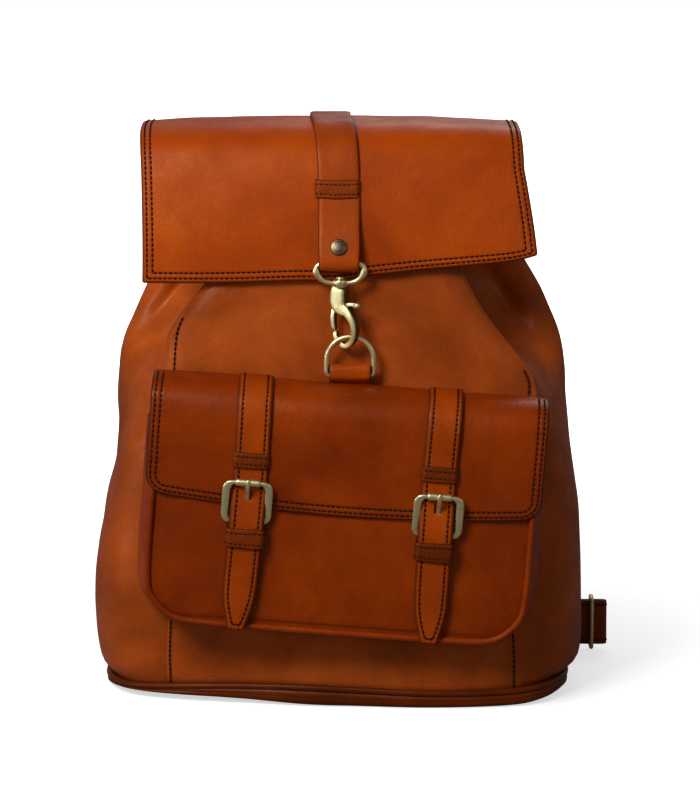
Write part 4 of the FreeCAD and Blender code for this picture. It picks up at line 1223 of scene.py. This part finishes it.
def flap2_outline(gap):
    """(x, v) points of a stitch row that runs round the pocket's flap, a gap in from its edge."""
    half, corner, low = FLAP2_HALF - gap, FLAP2_ROUND - gap, FLAP2_LONG - gap
    side = spread(13, low - corner, 3)
    turn = [math.pi / 2 * k / 6 for k in range(7)]
    arc = [(half - corner * (1 - math.cos(a)), low - corner * (1 - math.sin(a))) for a in turn]
    outline = [(-half, v) for v in side] + [(-x, v) for x, v in arc[1:]]
    outline += [(x, low) for x in spread(-half + corner, half - corner, 3)[1:]]
    return outline + arc[-2::-1] + [(half, v) for v in side[::-1][1:]]


def build_pocket_flap():
    def at(f, v):
        x = f * flap2_half(v)
        share = x / FLAP2_HALF
        hang = clamp((v - 45) / (FLAP2_LONG - 45))
        hem_rise = 6.6 * abs(share) ** 2
        path = FLAP2_PROFILE.at(v - hem_rise * hang)
        back = 1.6 * share * share * ease(v, 20, 50)
        wave = 1.4 * wobble(x, 0, 0, 70, 15) * bump(v, 16, 14)
        return Vector((x, path.x + back, path.y + wave))

    def gap_at(x, v):
        return edge_gap(x, v, FLAP2_HALF, FLAP2_LONG, FLAP2_ROUND)

    def relief(f, v, point):
        gap = gap_at(point.x, v)
        lumps = (0.9 * wobble(point.x, point.y, point.z, 60, 16)
                 + 0.25 * wobble(point.x, point.y, point.z, 18, 17))
        pull = 0.8 * bump(v, 40, 12) * (bump(point.x, -62, 20) + bump(point.x, 62, 20))
        return lumps * ease(gap, 0, 10) - pull + sewn_edge(gap)

    def tone(f, v):
        return sewn_tone(gap_at(at(f, v).x, v))

    facing = Vector((0, -1, 1))
    hide = Hide(at, facing, relief, POCKET)
    edges = [s * (1 - d / FLAP2_HALF) for s in (-1, 1) for d in EDGE_STEPS]
    fs = sorted(set(round(f, 5) for f in edges + spread(-1, 1, 0.034)))
    vs = denser(spread(0, FLAP2_LONG, 2.8), edge_lines(FLAP2_LONG, 1))
    hide.shape(fs, vs, 1.9, step=0.01, burnish_and_shade=tone).make(
        "pocket_flap_leather", POCKET_TAN, "leather", POCKET_BLEND, ["pocket_flap", "pocket_flap_margin"])

    def under(f, v):
        point = at(f, v)
        return point + hide.normal(f, v, 0.01) * (relief(f, v, point) - 1.95)

    inner = Hide(under, facing, None, POCKET)
    inner.shape(spread(-0.965, 0.965, 0.05), spread(14, FLAP2_LONG - 5, 5), 0.7, step=0.01).make(
        "pocket_flap_cloth", LINING, "lining_cloth", POCKET_BLEND, ["pocket_flap_lining"])
    rows = [hide.row([(x / flap2_half(v), v) for x, v in flap2_outline(gap)], 0.01)
            for gap in (STITCH_IN, STITCH_FAR)]
    stitched("pocket_flap_stitches", POCKET_BLEND, *rows)


# ---------------------------------------------------------------- pocket straps and buckles

STRAP_PROFILE = Path([(-80, 78.6), (-88.6, 78.0), (-96, 76.4), (-103, 72.2), (-108, 65.8), (-110.7, 56),
                      (-111.3, 44), (-111.4, 26), (-111.3, 17), (-112.6, 6), (-114.5, -6), (-114.9, -13),
                      (-113.6, -24), (-111.2, -40), (-109.5, -60), (-109.2, -81.5)])
STRAP_HALF, STRAP_LONG = 10.0, STRAP_PROFILE.length
TAPER_START = STRAP_PROFILE.nearest((-110.6, -46))
HOLE_V = STRAP_PROFILE.nearest((-112.6, 8))
BARS = {"low": Vector((0, -109, -11.5)), "top": Vector((0, -114.3, 14.8))}
STRAP_GRID = (0.05, 0.1, 0.17, 0.25, 0.35, 0.45, 0.55, 0.63, 0.7, 0.75, 0.8, 0.85, 0.9, 0.95, 1.0)
STRAP_STITCH_IN = 2.5


def strap_half(v):
    """Half width: parallel, then an easy taper to a blunt tip."""
    share = clamp((v - TAPER_START) / (STRAP_LONG - TAPER_START))
    return STRAP_HALF - 0.8 * share - 4.4 * max(0.0, share - 0.3) / 0.7 * ease(share, 0.0, 1.0)


def strap_front(z):
    """How far forward the pocket strap's face is at a height."""
    return STRAP_PROFILE.at(STRAP_PROFILE.nearest((-111.4, z))).x


def strap_tone(f, v):
    return sewn_tone(strap_half(v) * (1 - abs(f)), (STRAP_STITCH_IN,))


def build_strap(side, word, x):
    matrix = POCKET @ Matrix.Translation((x, 0, 0))
    lean = Track([(0, 0.0), (STRAP_LONG * 0.5, -1.0 * side), (STRAP_LONG, (-1.5 if side < 0 else 0.8))])

    def at(f, v):
        path = STRAP_PROFILE.at(v)
        return Vector((lean.at(v) + f * strap_half(v), path.x, path.y))

    def relief(f, v, point):
        gap = strap_half(v) - abs(f) * strap_half(v)
        groove = -0.28 * bump(gap, STRAP_STITCH_IN, 0.55) - 0.3 * bump(gap, 0, 0.5)
        pulled = -0.9 * math.exp(-(f / 0.22) ** 2 - ((v - HOLE_V + 3) / 4.5) ** 2)
        return groove + pulled + 0.3 * wobble(point.x + x, point.y, point.z, 16, 21)

    hide = Hide(at, Vector((0, -1, 0.35)), relief, matrix)
    fs = sorted({-f for f in STRAP_GRID} | {0.0} | set(STRAP_GRID))
    hole = (-0.17, 0.17, HOLE_V - 1.5, HOLE_V + 4.5)
    vs = denser(spread(0, STRAP_LONG, 1.9), [hole[2], hole[3]])

    def clear(v):
        """Whether a grid line is one of the hole's edges or well away from them."""
        gap = min(abs(v - hole[2]), abs(v - hole[3]))
        return gap < 1e-9 or gap > 0.4

    vs = [v for v in vs if clear(v)]
    hide.shape(fs, vs, 2.1, hole=hole, step=0.02, burnish_and_shade=strap_tone).make(
        word + "_pocket_strap_leather", STRAP_TAN, "leather", POCKET_BLEND, [word + "_pocket_strap"])
    stitches = Shape()
    tip = STRAP_LONG - 2.6
    for edge in (-1, 1):
        pairs = []
        for v in spread(1.5, tip, 2.2):
            gap = STRAP_STITCH_IN + 0.6 * ease(v, STRAP_LONG - 10, STRAP_LONG)
            pairs.append((edge * (1 - gap / strap_half(v)), v))
        sew(stitches, hide.row(pairs, 0.01), 3.1)
    end_half = 1 - 2.9 / strap_half(tip)
    sew(stitches, hide.row([(f, tip) for f in spread(-end_half, end_half, 0.1)], 0.01), 2.4)
    stitches.make(word + "_pocket_strap_stitches", THREAD_BROWN, None, POCKET_BLEND)
    keeper(word + "_upper_keeper_leather", "pocket_flap", [word + "_upper_keeper"], 28.6, 9.0,
           strap_front, 12.0, lean.at(60), 0.0, matrix, depth=3.4)
    keeper(word + "_lower_keeper_leather", "bag", [word + "_lower_keeper"], -21.5, 11.4,
           strap_front, 12.6, lean.at(120), 4.0, matrix, depth=9.0)
    build_buckle(word, matrix)


def rounded_loop(half, low, high, corner, steps=7):
    """Points of a rounded rectangle, counter-clockwise, with even steps along its straight sides."""
    line = []
    for cx, cy, first in ((half - corner, low + corner, -90), (half - corner, high - corner, 0),
                          (-half + corner, high - corner, 90), (-half + corner, low + corner, 180)):
        for k in range(steps + 1):
            angle = math.radians(first + 90 * k / steps)
            line.append(Vector((cx + corner * math.cos(angle), 0, cy + corner * math.sin(angle))))
    return line


BUCKLE_HALF, BUCKLE_CORNER = 13.6, 5.2
ROLLER_HALF, ROLLER_RADIUS = 7.6, 2.4
PRONG_PATH = Path([(0, -109.9, -9.4), (0, -110.3, -3.5), (0, -110.9, 2.0), (0, -113.6, 7.2),
                   (0, -117.0, 11.6), (0, -118.3, 15.0), (0, -118.1, 17.6)], steps=6)
CHAPE_PATH = Path([(-104.6, -40), (-104.4, -30), (-104.4, -21), (-106.6, -15.6), (-110.2, -14.2),
                   (-111.9, -11.6), (-110.4, -8.9), (-107.4, -8.2), (-104.9, -10.6), (-104.2, -18),
                   (-104.1, -38)], steps=5)
CHAPE_HALF, CHAPE_SLOT = 9.2, 2.0


def build_buckle(word, matrix):
    rise = (BARS["top"] - BARS["low"]).length
    lean = math.asin((BARS["low"].y - BARS["top"].y) / rise)
    frame_place = matrix @ Matrix.Translation(BARS["low"]) @ Matrix.Rotation(lean, 4, "X")
    # the frame's section is broad at the sides and thinner along the bars
    loop = rounded_loop(BUCKLE_HALF, 0.0, rise, BUCKLE_CORNER)
    count, sides = len(loop), 16
    points = []
    for i, centre in enumerate(loop):
        ahead = (loop[(i + 1) % count] - loop[i - 1]).normalized()
        upright = abs(centre.x) / BUCKLE_HALF
        wide = 1.35 + 1.25 * ease(upright, 0.66, 0.95)
        thick = 1.3 + 0.15 * ease(upright, 0.5, 0.9)
        points += section(centre, ahead.cross(BACK), BACK, wide, thick, sides, 0.72)
    Shape().add(points, tube_faces(count, sides, True)).make(
        word + "_buckle_frame_cast", BRASS, "antique_brass", word + "_buckle",
        [word + "_buckle_frame"], smooth_levels=1, matrix=frame_place)

    half = [(0, -ROLLER_HALF), (1.5, -ROLLER_HALF), (2.1, -ROLLER_HALF), (ROLLER_RADIUS, -ROLLER_HALF + 0.4),
            (ROLLER_RADIUS, -ROLLER_HALF + 1.6)]
    profile = half + [(radius, -height) for radius, height in half[::-1]]
    Shape().turned(profile, Vector((0, 0, rise)), (1, 0, 0), 24).make(
        word + "_buckle_roller_tube", BRASS, "antique_brass", word + "_roller",
        [word + "_buckle_roller"], matrix=frame_place)

    line = PRONG_PATH.line
    radii = [1.25 + 0.35 * math.sin(math.pi * clamp(k / len(line) * 1.15)) for k in range(len(line))]
    radii[-3:] = 1.3, 1.05, 0.6
    prong = Shape().tube(line, radii, sides=14, flat=0.82, up=BACK)
    knuckle = [Vector((x, *BARS["low"].yz)) for x in (-1.7, -1.2, 0, 1.2, 1.7)]
    prong.tube(knuckle, [2.0, 2.35, 2.4, 2.35, 2.0], sides=16)
    prong.make(word + "_buckle_prong_cast", BRASS, "antique_brass", word + "_prong",
               [word + "_buckle_prong"], matrix=matrix)

    def chape_at(u, v):
        place = CHAPE_PATH.at(v)
        return Vector((u, place.x, place.y))

    slot = (-CHAPE_SLOT, CHAPE_SLOT, CHAPE_PATH.nearest((-106.6, -15.6)), CHAPE_PATH.nearest((-107.4, -8.2)))
    us = denser(spread(-CHAPE_HALF, CHAPE_HALF, 1.8), slot[:2])
    vs = denser(spread(0, CHAPE_PATH.length, 1.5), slot[2:])
    hide = Hide(chape_at, path_facing(CHAPE_PATH, 0.4), None, matrix)
    hide.shape(us, vs, 1.1, hole=slot).make(
        word + "_chape_leather", STRAP_TAN, "leather", "bag", [word + "_chape"])


# ---------------------------------------------------------------- swivel snap hook, ring and tab

SWIVEL_X, HOOK_YAW = 1.6, math.radians(-33)
HOOK = Matrix.Translation((SWIVEL_X, BAR_Y, 0)) @ Matrix.Rotation(HOOK_YAW, 4, "Z")
EYE = Matrix.Translation((SWIVEL_X, BAR_Y, 0))


def cast(rows, power=0.32, sides=32, steps=6):
    """A casting in the XZ plane: rows of (x, z, half width, half depth) along its middle line."""
    keys = [0.0]
    for a, b in zip(rows, rows[1:]):
        keys.append(keys[-1] + math.hypot(b[0] - a[0], b[1] - a[1]))
    track = Track([(key, *row) for key, row in zip(keys, rows)])
    stations = []
    for a, b in zip(keys, keys[1:]):
        stations += [a + (b - a) * k / steps for k in range(steps)]
    stations.append(keys[-1])
    points = []
    for s in stations:
        x, z, wide, deep = track.at(s)
        ahead = track.at(min(s + 0.2, keys[-1])) - track.at(max(s - 0.2, 0.0))
        ahead = Vector((ahead[0], 0, ahead[1])).normalized()
        points += section(Vector((x, 0, z)), ahead.cross(BACK), BACK, wide, deep, sides, power)
    # the patina stays on the faces at the sides
    depths = [abs(math.sin(2 * math.pi * k / sides)) ** power for k in range(sides)]
    patina = [0.9 * (1 - ease(depth, 0.6, 0.92)) for depth in depths]
    return Shape().add(points, tube_faces(len(stations), sides), patina * len(stations))


def build_hook():
    bar, half = BAR_Z, 14.6
    loop = Path([(-half + 2, 0, bar), (0, 0, bar), (half - 2, 0, bar), (half + 0.3, 0, bar - 1.8),
                 (half + 0.4, 0, bar - 5.5), (half - 2.6, 0, bar - 9.4), (8, 0, bar - 11.4), (0, 0, bar - 12),
                 (-8, 0, bar - 11.4), (-half + 2.6, 0, bar - 9.4), (-half - 0.4, 0, bar - 5.5),
                 (-half - 0.3, 0, bar - 1.8)], closed=True, steps=6)
    line = loop.line[:-1]
    radii = [1.7 + 0.75 * bump(bar - p.z, 5.2, 3.6) for p in line]
    eye = Shape().tube(line, radii, sides=16, closed=True, up=BACK)
    centre, axis = (0, 0, 0), (0, 0, 1)
    collar = [(0, 277.7), (4.2, 277.7), (4.6, 278.0), (4.6, 281.9), (4.3, 282.4), (0, 282.5)]
    eye.turned(collar, centre, axis, 36)
    eye.make("hook_eye_cast", BRASS, "antique_brass", "hook_eye", ["hook_eye"], matrix=EYE)

    body = cast([(0.5, 277.2, 4.7, 4.2), (0.1, 275.6, 5.2, 4.3), (-0.3, 272.5, 5.4, 4.3),
                 (-0.2, 267.6, 5.5, 4.2), (1.9, 264.4, 4.6, 4.1), (6.4, 261.8, 3.0, 4.0),
                 (9.9, 257.6, 2.3, 3.9), (11.5, 252.5, 2.0, 3.5), (11.2, 247, 1.8, 2.8),
                 (8.6, 242.4, 1.75, 2.1), (4.2, 239.9, 1.7, 1.8), (-0.3, 241.6, 1.75, 1.8),
                 (-2.7, 245.2, 1.7, 1.8), (-3.3, 248.2, 1.3, 1.6), (-3.2, 249.2, 0.5, 0.8)])
    body.turned([(0, 277.0), (2.6, 277.0), (2.6, 277.6), (0, 277.6)], centre, axis, 20)
    body.turned([(0, 282.75), (2.6, 282.8), (2.8, 283.4), (2.3, 284.1), (0, 284.3)], centre, axis, 24)
    body.make("hook_body_cast", BRASS, "antique_brass", "hook", ["hook_body"], matrix=HOOK)

    gate = cast([(-2.8, 264.6, 1.6, 1.3), (-4.2, 262, 1.6, 1.9), (-4.8, 257.5, 1.5, 2.1),
                 (-4.5, 253, 1.4, 1.9), (-3.9, 250.2, 1.2, 1.6), (-3.6, 249.6, 0.5, 0.8)])
    lever = cast([(2.0, 266.0, 1.2, 1.25), (6.5, 266.8, 1.2, 1.25), (10.4, 267, 1.3, 1.3),
                  (11.6, 266.8, 1.5, 1.5)])
    gate.add(lever.points, lever.faces, lever.burnish_and_shade)
    knob = [(0, -2.3), (1.3, -1.9), (2.05, -1.0), (2.3, 0), (2.05, 1.0), (1.3, 1.9), (0, 2.3)]
    gate.turned(knob, (12.9, 0, 266.5), axis, 20)
    gate.make("hook_gate_cast", BRASS, "antique_brass", "hook_gate", ["hook_gate"], matrix=HOOK)


RING_WIRE, RING_DRAWN, RING_CORNER = 1.5, 1.78, 2.2


def build_ring():
    low, high = box_mm("d_ring")
    middle, y = (low.x + high.x) / 2, (low.y + high.y) / 2
    half, bottom, top = (high.x - low.x) / 2 - RING_WIRE, low.z + RING_WIRE, high.z - RING_WIRE
    line = [(half * math.cos(math.radians(a)), top - half + half * math.sin(math.radians(a)))
            for a in range(0, 181, 12)]
    cut = RING_CORNER * 0.3
    line += mirrored([(-half, bottom + RING_CORNER), (-half + cut, bottom + cut),
                      (-half + RING_CORNER, bottom), (-half / 3, bottom)])
    loop = Path([(x, 0, z) for x, z in line], closed=True, steps=3)
    Shape().tube(loop.line[:-1], RING_DRAWN, sides=16, closed=True, up=BACK).make(
        "d_ring_wire", BRASS, "antique_brass", "d_ring", ["d_ring"],
        matrix=Matrix.Translation((middle, y, 0)))


def build_ring_tab():
    low, high = box_mm("d_ring_tab")
    ring_low, ring_high = box_mm("d_ring")
    y, z = (ring_low.y + ring_high.y) / 2, ring_low.z + RING_WIRE
    middle, half = (low.x + high.x) / 2, 12.3
    path = Path([(-66.9, 203), (-68.4, 209), (-72.4, 214.6), (y - 3.6, z - 1.6), (y - 4.0, z + 2.4),
                 (y - 3.0, z + 6.0), (y - 0.4, z + 7.6), (y + 2.2, z + 6.0), (y + 3.2, z + 1.4),
                 (-70.1, 212.6), (-66.2, 206.5)], steps=8)

    def at(u, v):
        place = path.at(v)
        return Vector((middle + u, place.x, place.y))

    def relief(u, v, point):
        return 0.2 * wobble(point.x, point.y, point.z, 9, 31) - 0.3 * bump(abs(u), half, 0.7)

    us = denser(spread(-half, half, 1.8), [-11.8, -11.2, 11.2, 11.8])
    Hide(at, path_facing(path, 0.4), relief).shape(us, spread(0, path.length, 1.3), 1.9).make(
        "d_ring_tab_leather", STRAP_TAN, "leather", "bag", ["d_ring_tab"])


# ---------------------------------------------------------------- back: yoke, handle and shoulder straps

YOKE_LOW, YOKE_HIGH, YOKE_HALF = 266, 352, 66
YOKE_STITCH_IN = 2.6


def build_yoke():
    def yoke_at(u, v):
        x = u * (YOKE_HALF - 6 * ease(v, 300, 262))
        return Vector((x, back_y(x, v) + 2.6, v))

    def relief(u, v, point):
        gap = min(YOKE_HALF * (1 - abs(u)), v - YOKE_LOW)
        return 0.5 * wobble(point.x, point.y, point.z, 30, 40) + sewn_edge(gap, (YOKE_STITCH_IN,))

    yoke = Hide(yoke_at, BACK, relief)
    edges = [s * (1 - d) for s in (-1, 1) for d in (0.01, 0.025, 0.04, 0.055, 0.075)]
    us = denser(spread(-1, 1, 0.05), edges)
    vs = denser(spread(YOKE_LOW, YOKE_HIGH, 3), [YOKE_LOW + d for d in (0.6, 1.3, 2.0, 2.6, 3.2, 4.2)])
    yoke.shape(us, vs, 2.0, step=0.01).make("back_yoke_leather", BODY_TAN, "leather", "bag", ["back_yoke"])
    edge, low = 1 - YOKE_STITCH_IN / 63, YOKE_LOW + YOKE_STITCH_IN
    rows = [yoke.row([(side * edge, v) for v in spread(low, YOKE_HIGH - 2, 3)], 0.01) for side in (-1, 1)]
    rows.append(yoke.row([(u, low) for u in spread(-0.96, 0.96, 0.04)], 0.01))
    stitched("back_yoke_stitches", "bag", *rows)


def build_handle():
    """A padded grip that flattens where it is sewn down."""
    low, high = box_mm("carry_handle")
    z = (low.z + high.z) / 2
    left = [(-57, 50.6), (-53, 53.4), (-47.5, 62), (-38, 71.2), (-22, 76.2)]
    line = Path(mirrored(left, (0, 77.6)), steps=6).line
    last, sides = len(line) - 1, 20
    points = []
    for i, place in enumerate(line):
        share = abs(i / last * 2 - 1)
        tall = 9.4 - 1.6 * (1 - ease(share, 0.5, 0.8))
        thick = 1.3 + 2.3 * (1 - ease(share, 0.55, 0.9))
        ahead = (line[min(last, i + 1)] - line[max(0, i - 1)]).normalized()
        side = Vector((ahead.y, -ahead.x, 0))
        points += section(Vector((place.x, place.y, z)), side, UP, thick, tall, sides, 0.8)
    Shape().add(points, tube_faces(len(line), sides)).make(
        "carry_handle_leather", STRAP_TAN, "leather", "bag", ["carry_handle"])


def build_back():
    build_yoke()
    build_handle()
    for side, word in ((-1, "left"), (1, "right")):
        build_shoulder(side, word)
        build_lower_strap(side, word)


def back_y(x, z):
    """How far back the back panel's face is at a place."""
    seam = abs(ring(clamp(z, SHELL_LOW, SHELL_HIGH)).at(REAR_SEAM).x)
    share = clamp(abs(x) / seam)
    c = LAST - (LAST - REAR_SEAM) * share
    return ring(clamp(z, SHELL_LOW, SHELL_HIGH)).at(c).y


SHOULDER = Path([(56.6, 288), (59, 299), (66, 306.5), (76, 303.5), (87, 289), (95, 264), (99.6, 235),
                 (102, 190), (101.5, 150), (97.5, 100), (91, 62), (88, 40)])
SHOULDER_TOP, SHOULDER_STITCH_IN = 300, 3.2
SHOULDER_GRID = (0.0, 0.2, 0.38, 0.54, 0.66, 0.74, 0.79, 0.83, 0.86, 0.9, 0.95, 1.0)


def build_shoulder(side, word):
    lean = Matrix.Rotation(math.radians(-side * 11), 4, "Y")
    matrix = Matrix.Translation((side * 36, 0, SHOULDER_TOP)) @ lean
    long = SHOULDER.length

    def half(v):
        return 21.8 - 6.8 * ease(v, long * 0.45, long)

    def at(f, v):
        path = SHOULDER.at(v)
        return Vector((f * half(v), path.x, path.y - SHOULDER_TOP))

    def relief(f, v, point):
        gap = half(v) * (1 - abs(f))
        crown = 1.5 * ease(gap, 1.5, 12) * ease(v, 4, 30) * (1 - ease(v, long - 50, long - 25))
        grain = 0.3 * wobble(point.x, point.y, point.z, 26, 44 + side)
        return crown - 0.35 * bump(gap, SHOULDER_STITCH_IN, 0.9) + grain - 0.6

    hide = Hide(at, path_facing(SHOULDER, 1), relief, matrix)
    fs = sorted({-f for f in SHOULDER_GRID} | set(SHOULDER_GRID))
    piece = hide.shape(fs, spread(0, long, 3.5), 4.6, step=0.02, rim=6).make(
        word + "_shoulder_strap_leather", STRAP_TAN, "leather", "bag", [word + "_shoulder_strap"])
    rows = [hide.row([(edge * (1 - SHOULDER_STITCH_IN / half(v)), v) for v in spread(4, long - 4, 4)], 0.01)
            for edge in (-1, 1)]
    stitched(word + "_shoulder_stitches", "bag", *rows)


LOWER_STITCH_IN = 2.2


def build_lower_strap(side, word):
    low, high = box_mm(word + "_lower_strap")
    middle, half = (low.z + high.z) / 2, (high.z - low.z) / 2 - 0.4
    turn = (high.x if side > 0 else -low.x) - 3
    start = 106 if side > 0 else 80
    path = Path([(start - 8, 65.4), (start, 67.0), (start + 16, 71.0), (turn - 20, 71.2), (turn, 71.0),
                 (turn + 2.3, 72.2), (turn + 2.8, 74.2), (turn + 2.3, 76.3), (turn, 77.4), (turn - 20, 77.6),
                 (start + 22, 78.0), (96, 86)], steps=8)

    def at(u, v):
        place = path.at(u)
        return Vector((side * place.x, place.y, middle + v))

    def facing(u, v):
        ahead = path.at(u + 0.5) - path.at(u - 0.5)
        return Vector((side * ahead.y, -ahead.x, 0))

    def relief(u, v, point):
        grain = 0.35 * wobble(point.x, point.y, point.z, 30, 50)
        return grain - 0.3 * bump(half - abs(v), LOWER_STITCH_IN, 0.6)

    hide = Hide(at, facing, relief)
    vs = denser(spread(-half, half, 2.6), [s * (half - d) for s in (-1, 1) for d in (0.6, 1.4, 2.2, 3.0)])
    hide.shape(spread(0, path.length, 2.4), vs, 1.8).make(
        word + "_lower_strap_leather", KEEPER_TAN, "leather", "bag", [word + "_lower_strap"])
    rows = [hide.row([(u, edge * (half - LOWER_STITCH_IN)) for u in spread(24, path.length - 6, 2.5)])
            for edge in (-1, 1)]
    stitched(word + "_lower_strap_stitches", "bag", *rows)
    build_anchor(side, word, start)


def build_anchor(side, word, start):
    """The patch that holds a lower strap to the back."""
    corners = [Vector(p) for p in ((start - 12, 11), (134, 11), (136, 49), (start - 2, 43))]

    def patch_at(u, v):
        place = corners[0].lerp(corners[1], u).lerp(corners[3].lerp(corners[2], u), v)
        return Vector((side * place.x, back_y(place.x, place.y) + 3.4, place.y))

    def relief(u, v, point):
        return 0.2 * wobble(point.x, point.y, point.z, 14, 60)

    patch = Hide(patch_at, BACK, relief)
    patch.shape(spread(0, 1, 0.05), spread(0, 1, 0.06), 2.0, step=0.01).make(
        word + "_strap_anchor_leather", STRAP_TAN, "leather", "bag", [word + "_strap_anchor"])
    near, far = 0.07, 0.93
    run = spread(near, far, 0.06)
    loop = ([(u, near) for u in run] + [(far, v) for v in run]
            + [(u, far) for u in run[::-1]] + [(near, v) for v in run[::-1]])
    stitched(word + "_strap_anchor_stitches", "bag", patch.row(loop, 0.01))


# ---------------------------------------------------------------- CAD nodes in sight

def finish_nodes():
    """Materials of the CAD nodes that stay in sight."""
    finishes = {"gate_pin": BRASS, "gate_spring": STEEL,
                "left_strap_adjuster": BRASS, "right_strap_adjuster": BRASS}
    for name, material in finishes.items():
        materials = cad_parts[name].data.materials
        materials.clear()
        materials.append(material)


build_camera()
build_stage()
finish_nodes()
build_shell()
build_lining()
build_base()
build_main_flap()
build_closure()
build_pocket()
build_pocket_flap()
for strap_side, strap_word in ((-1, "left"), (1, "right")):
    build_strap(strap_side, strap_word, strap_side * 60.5)
build_hook()
build_ring()
build_ring_tab()
build_back()
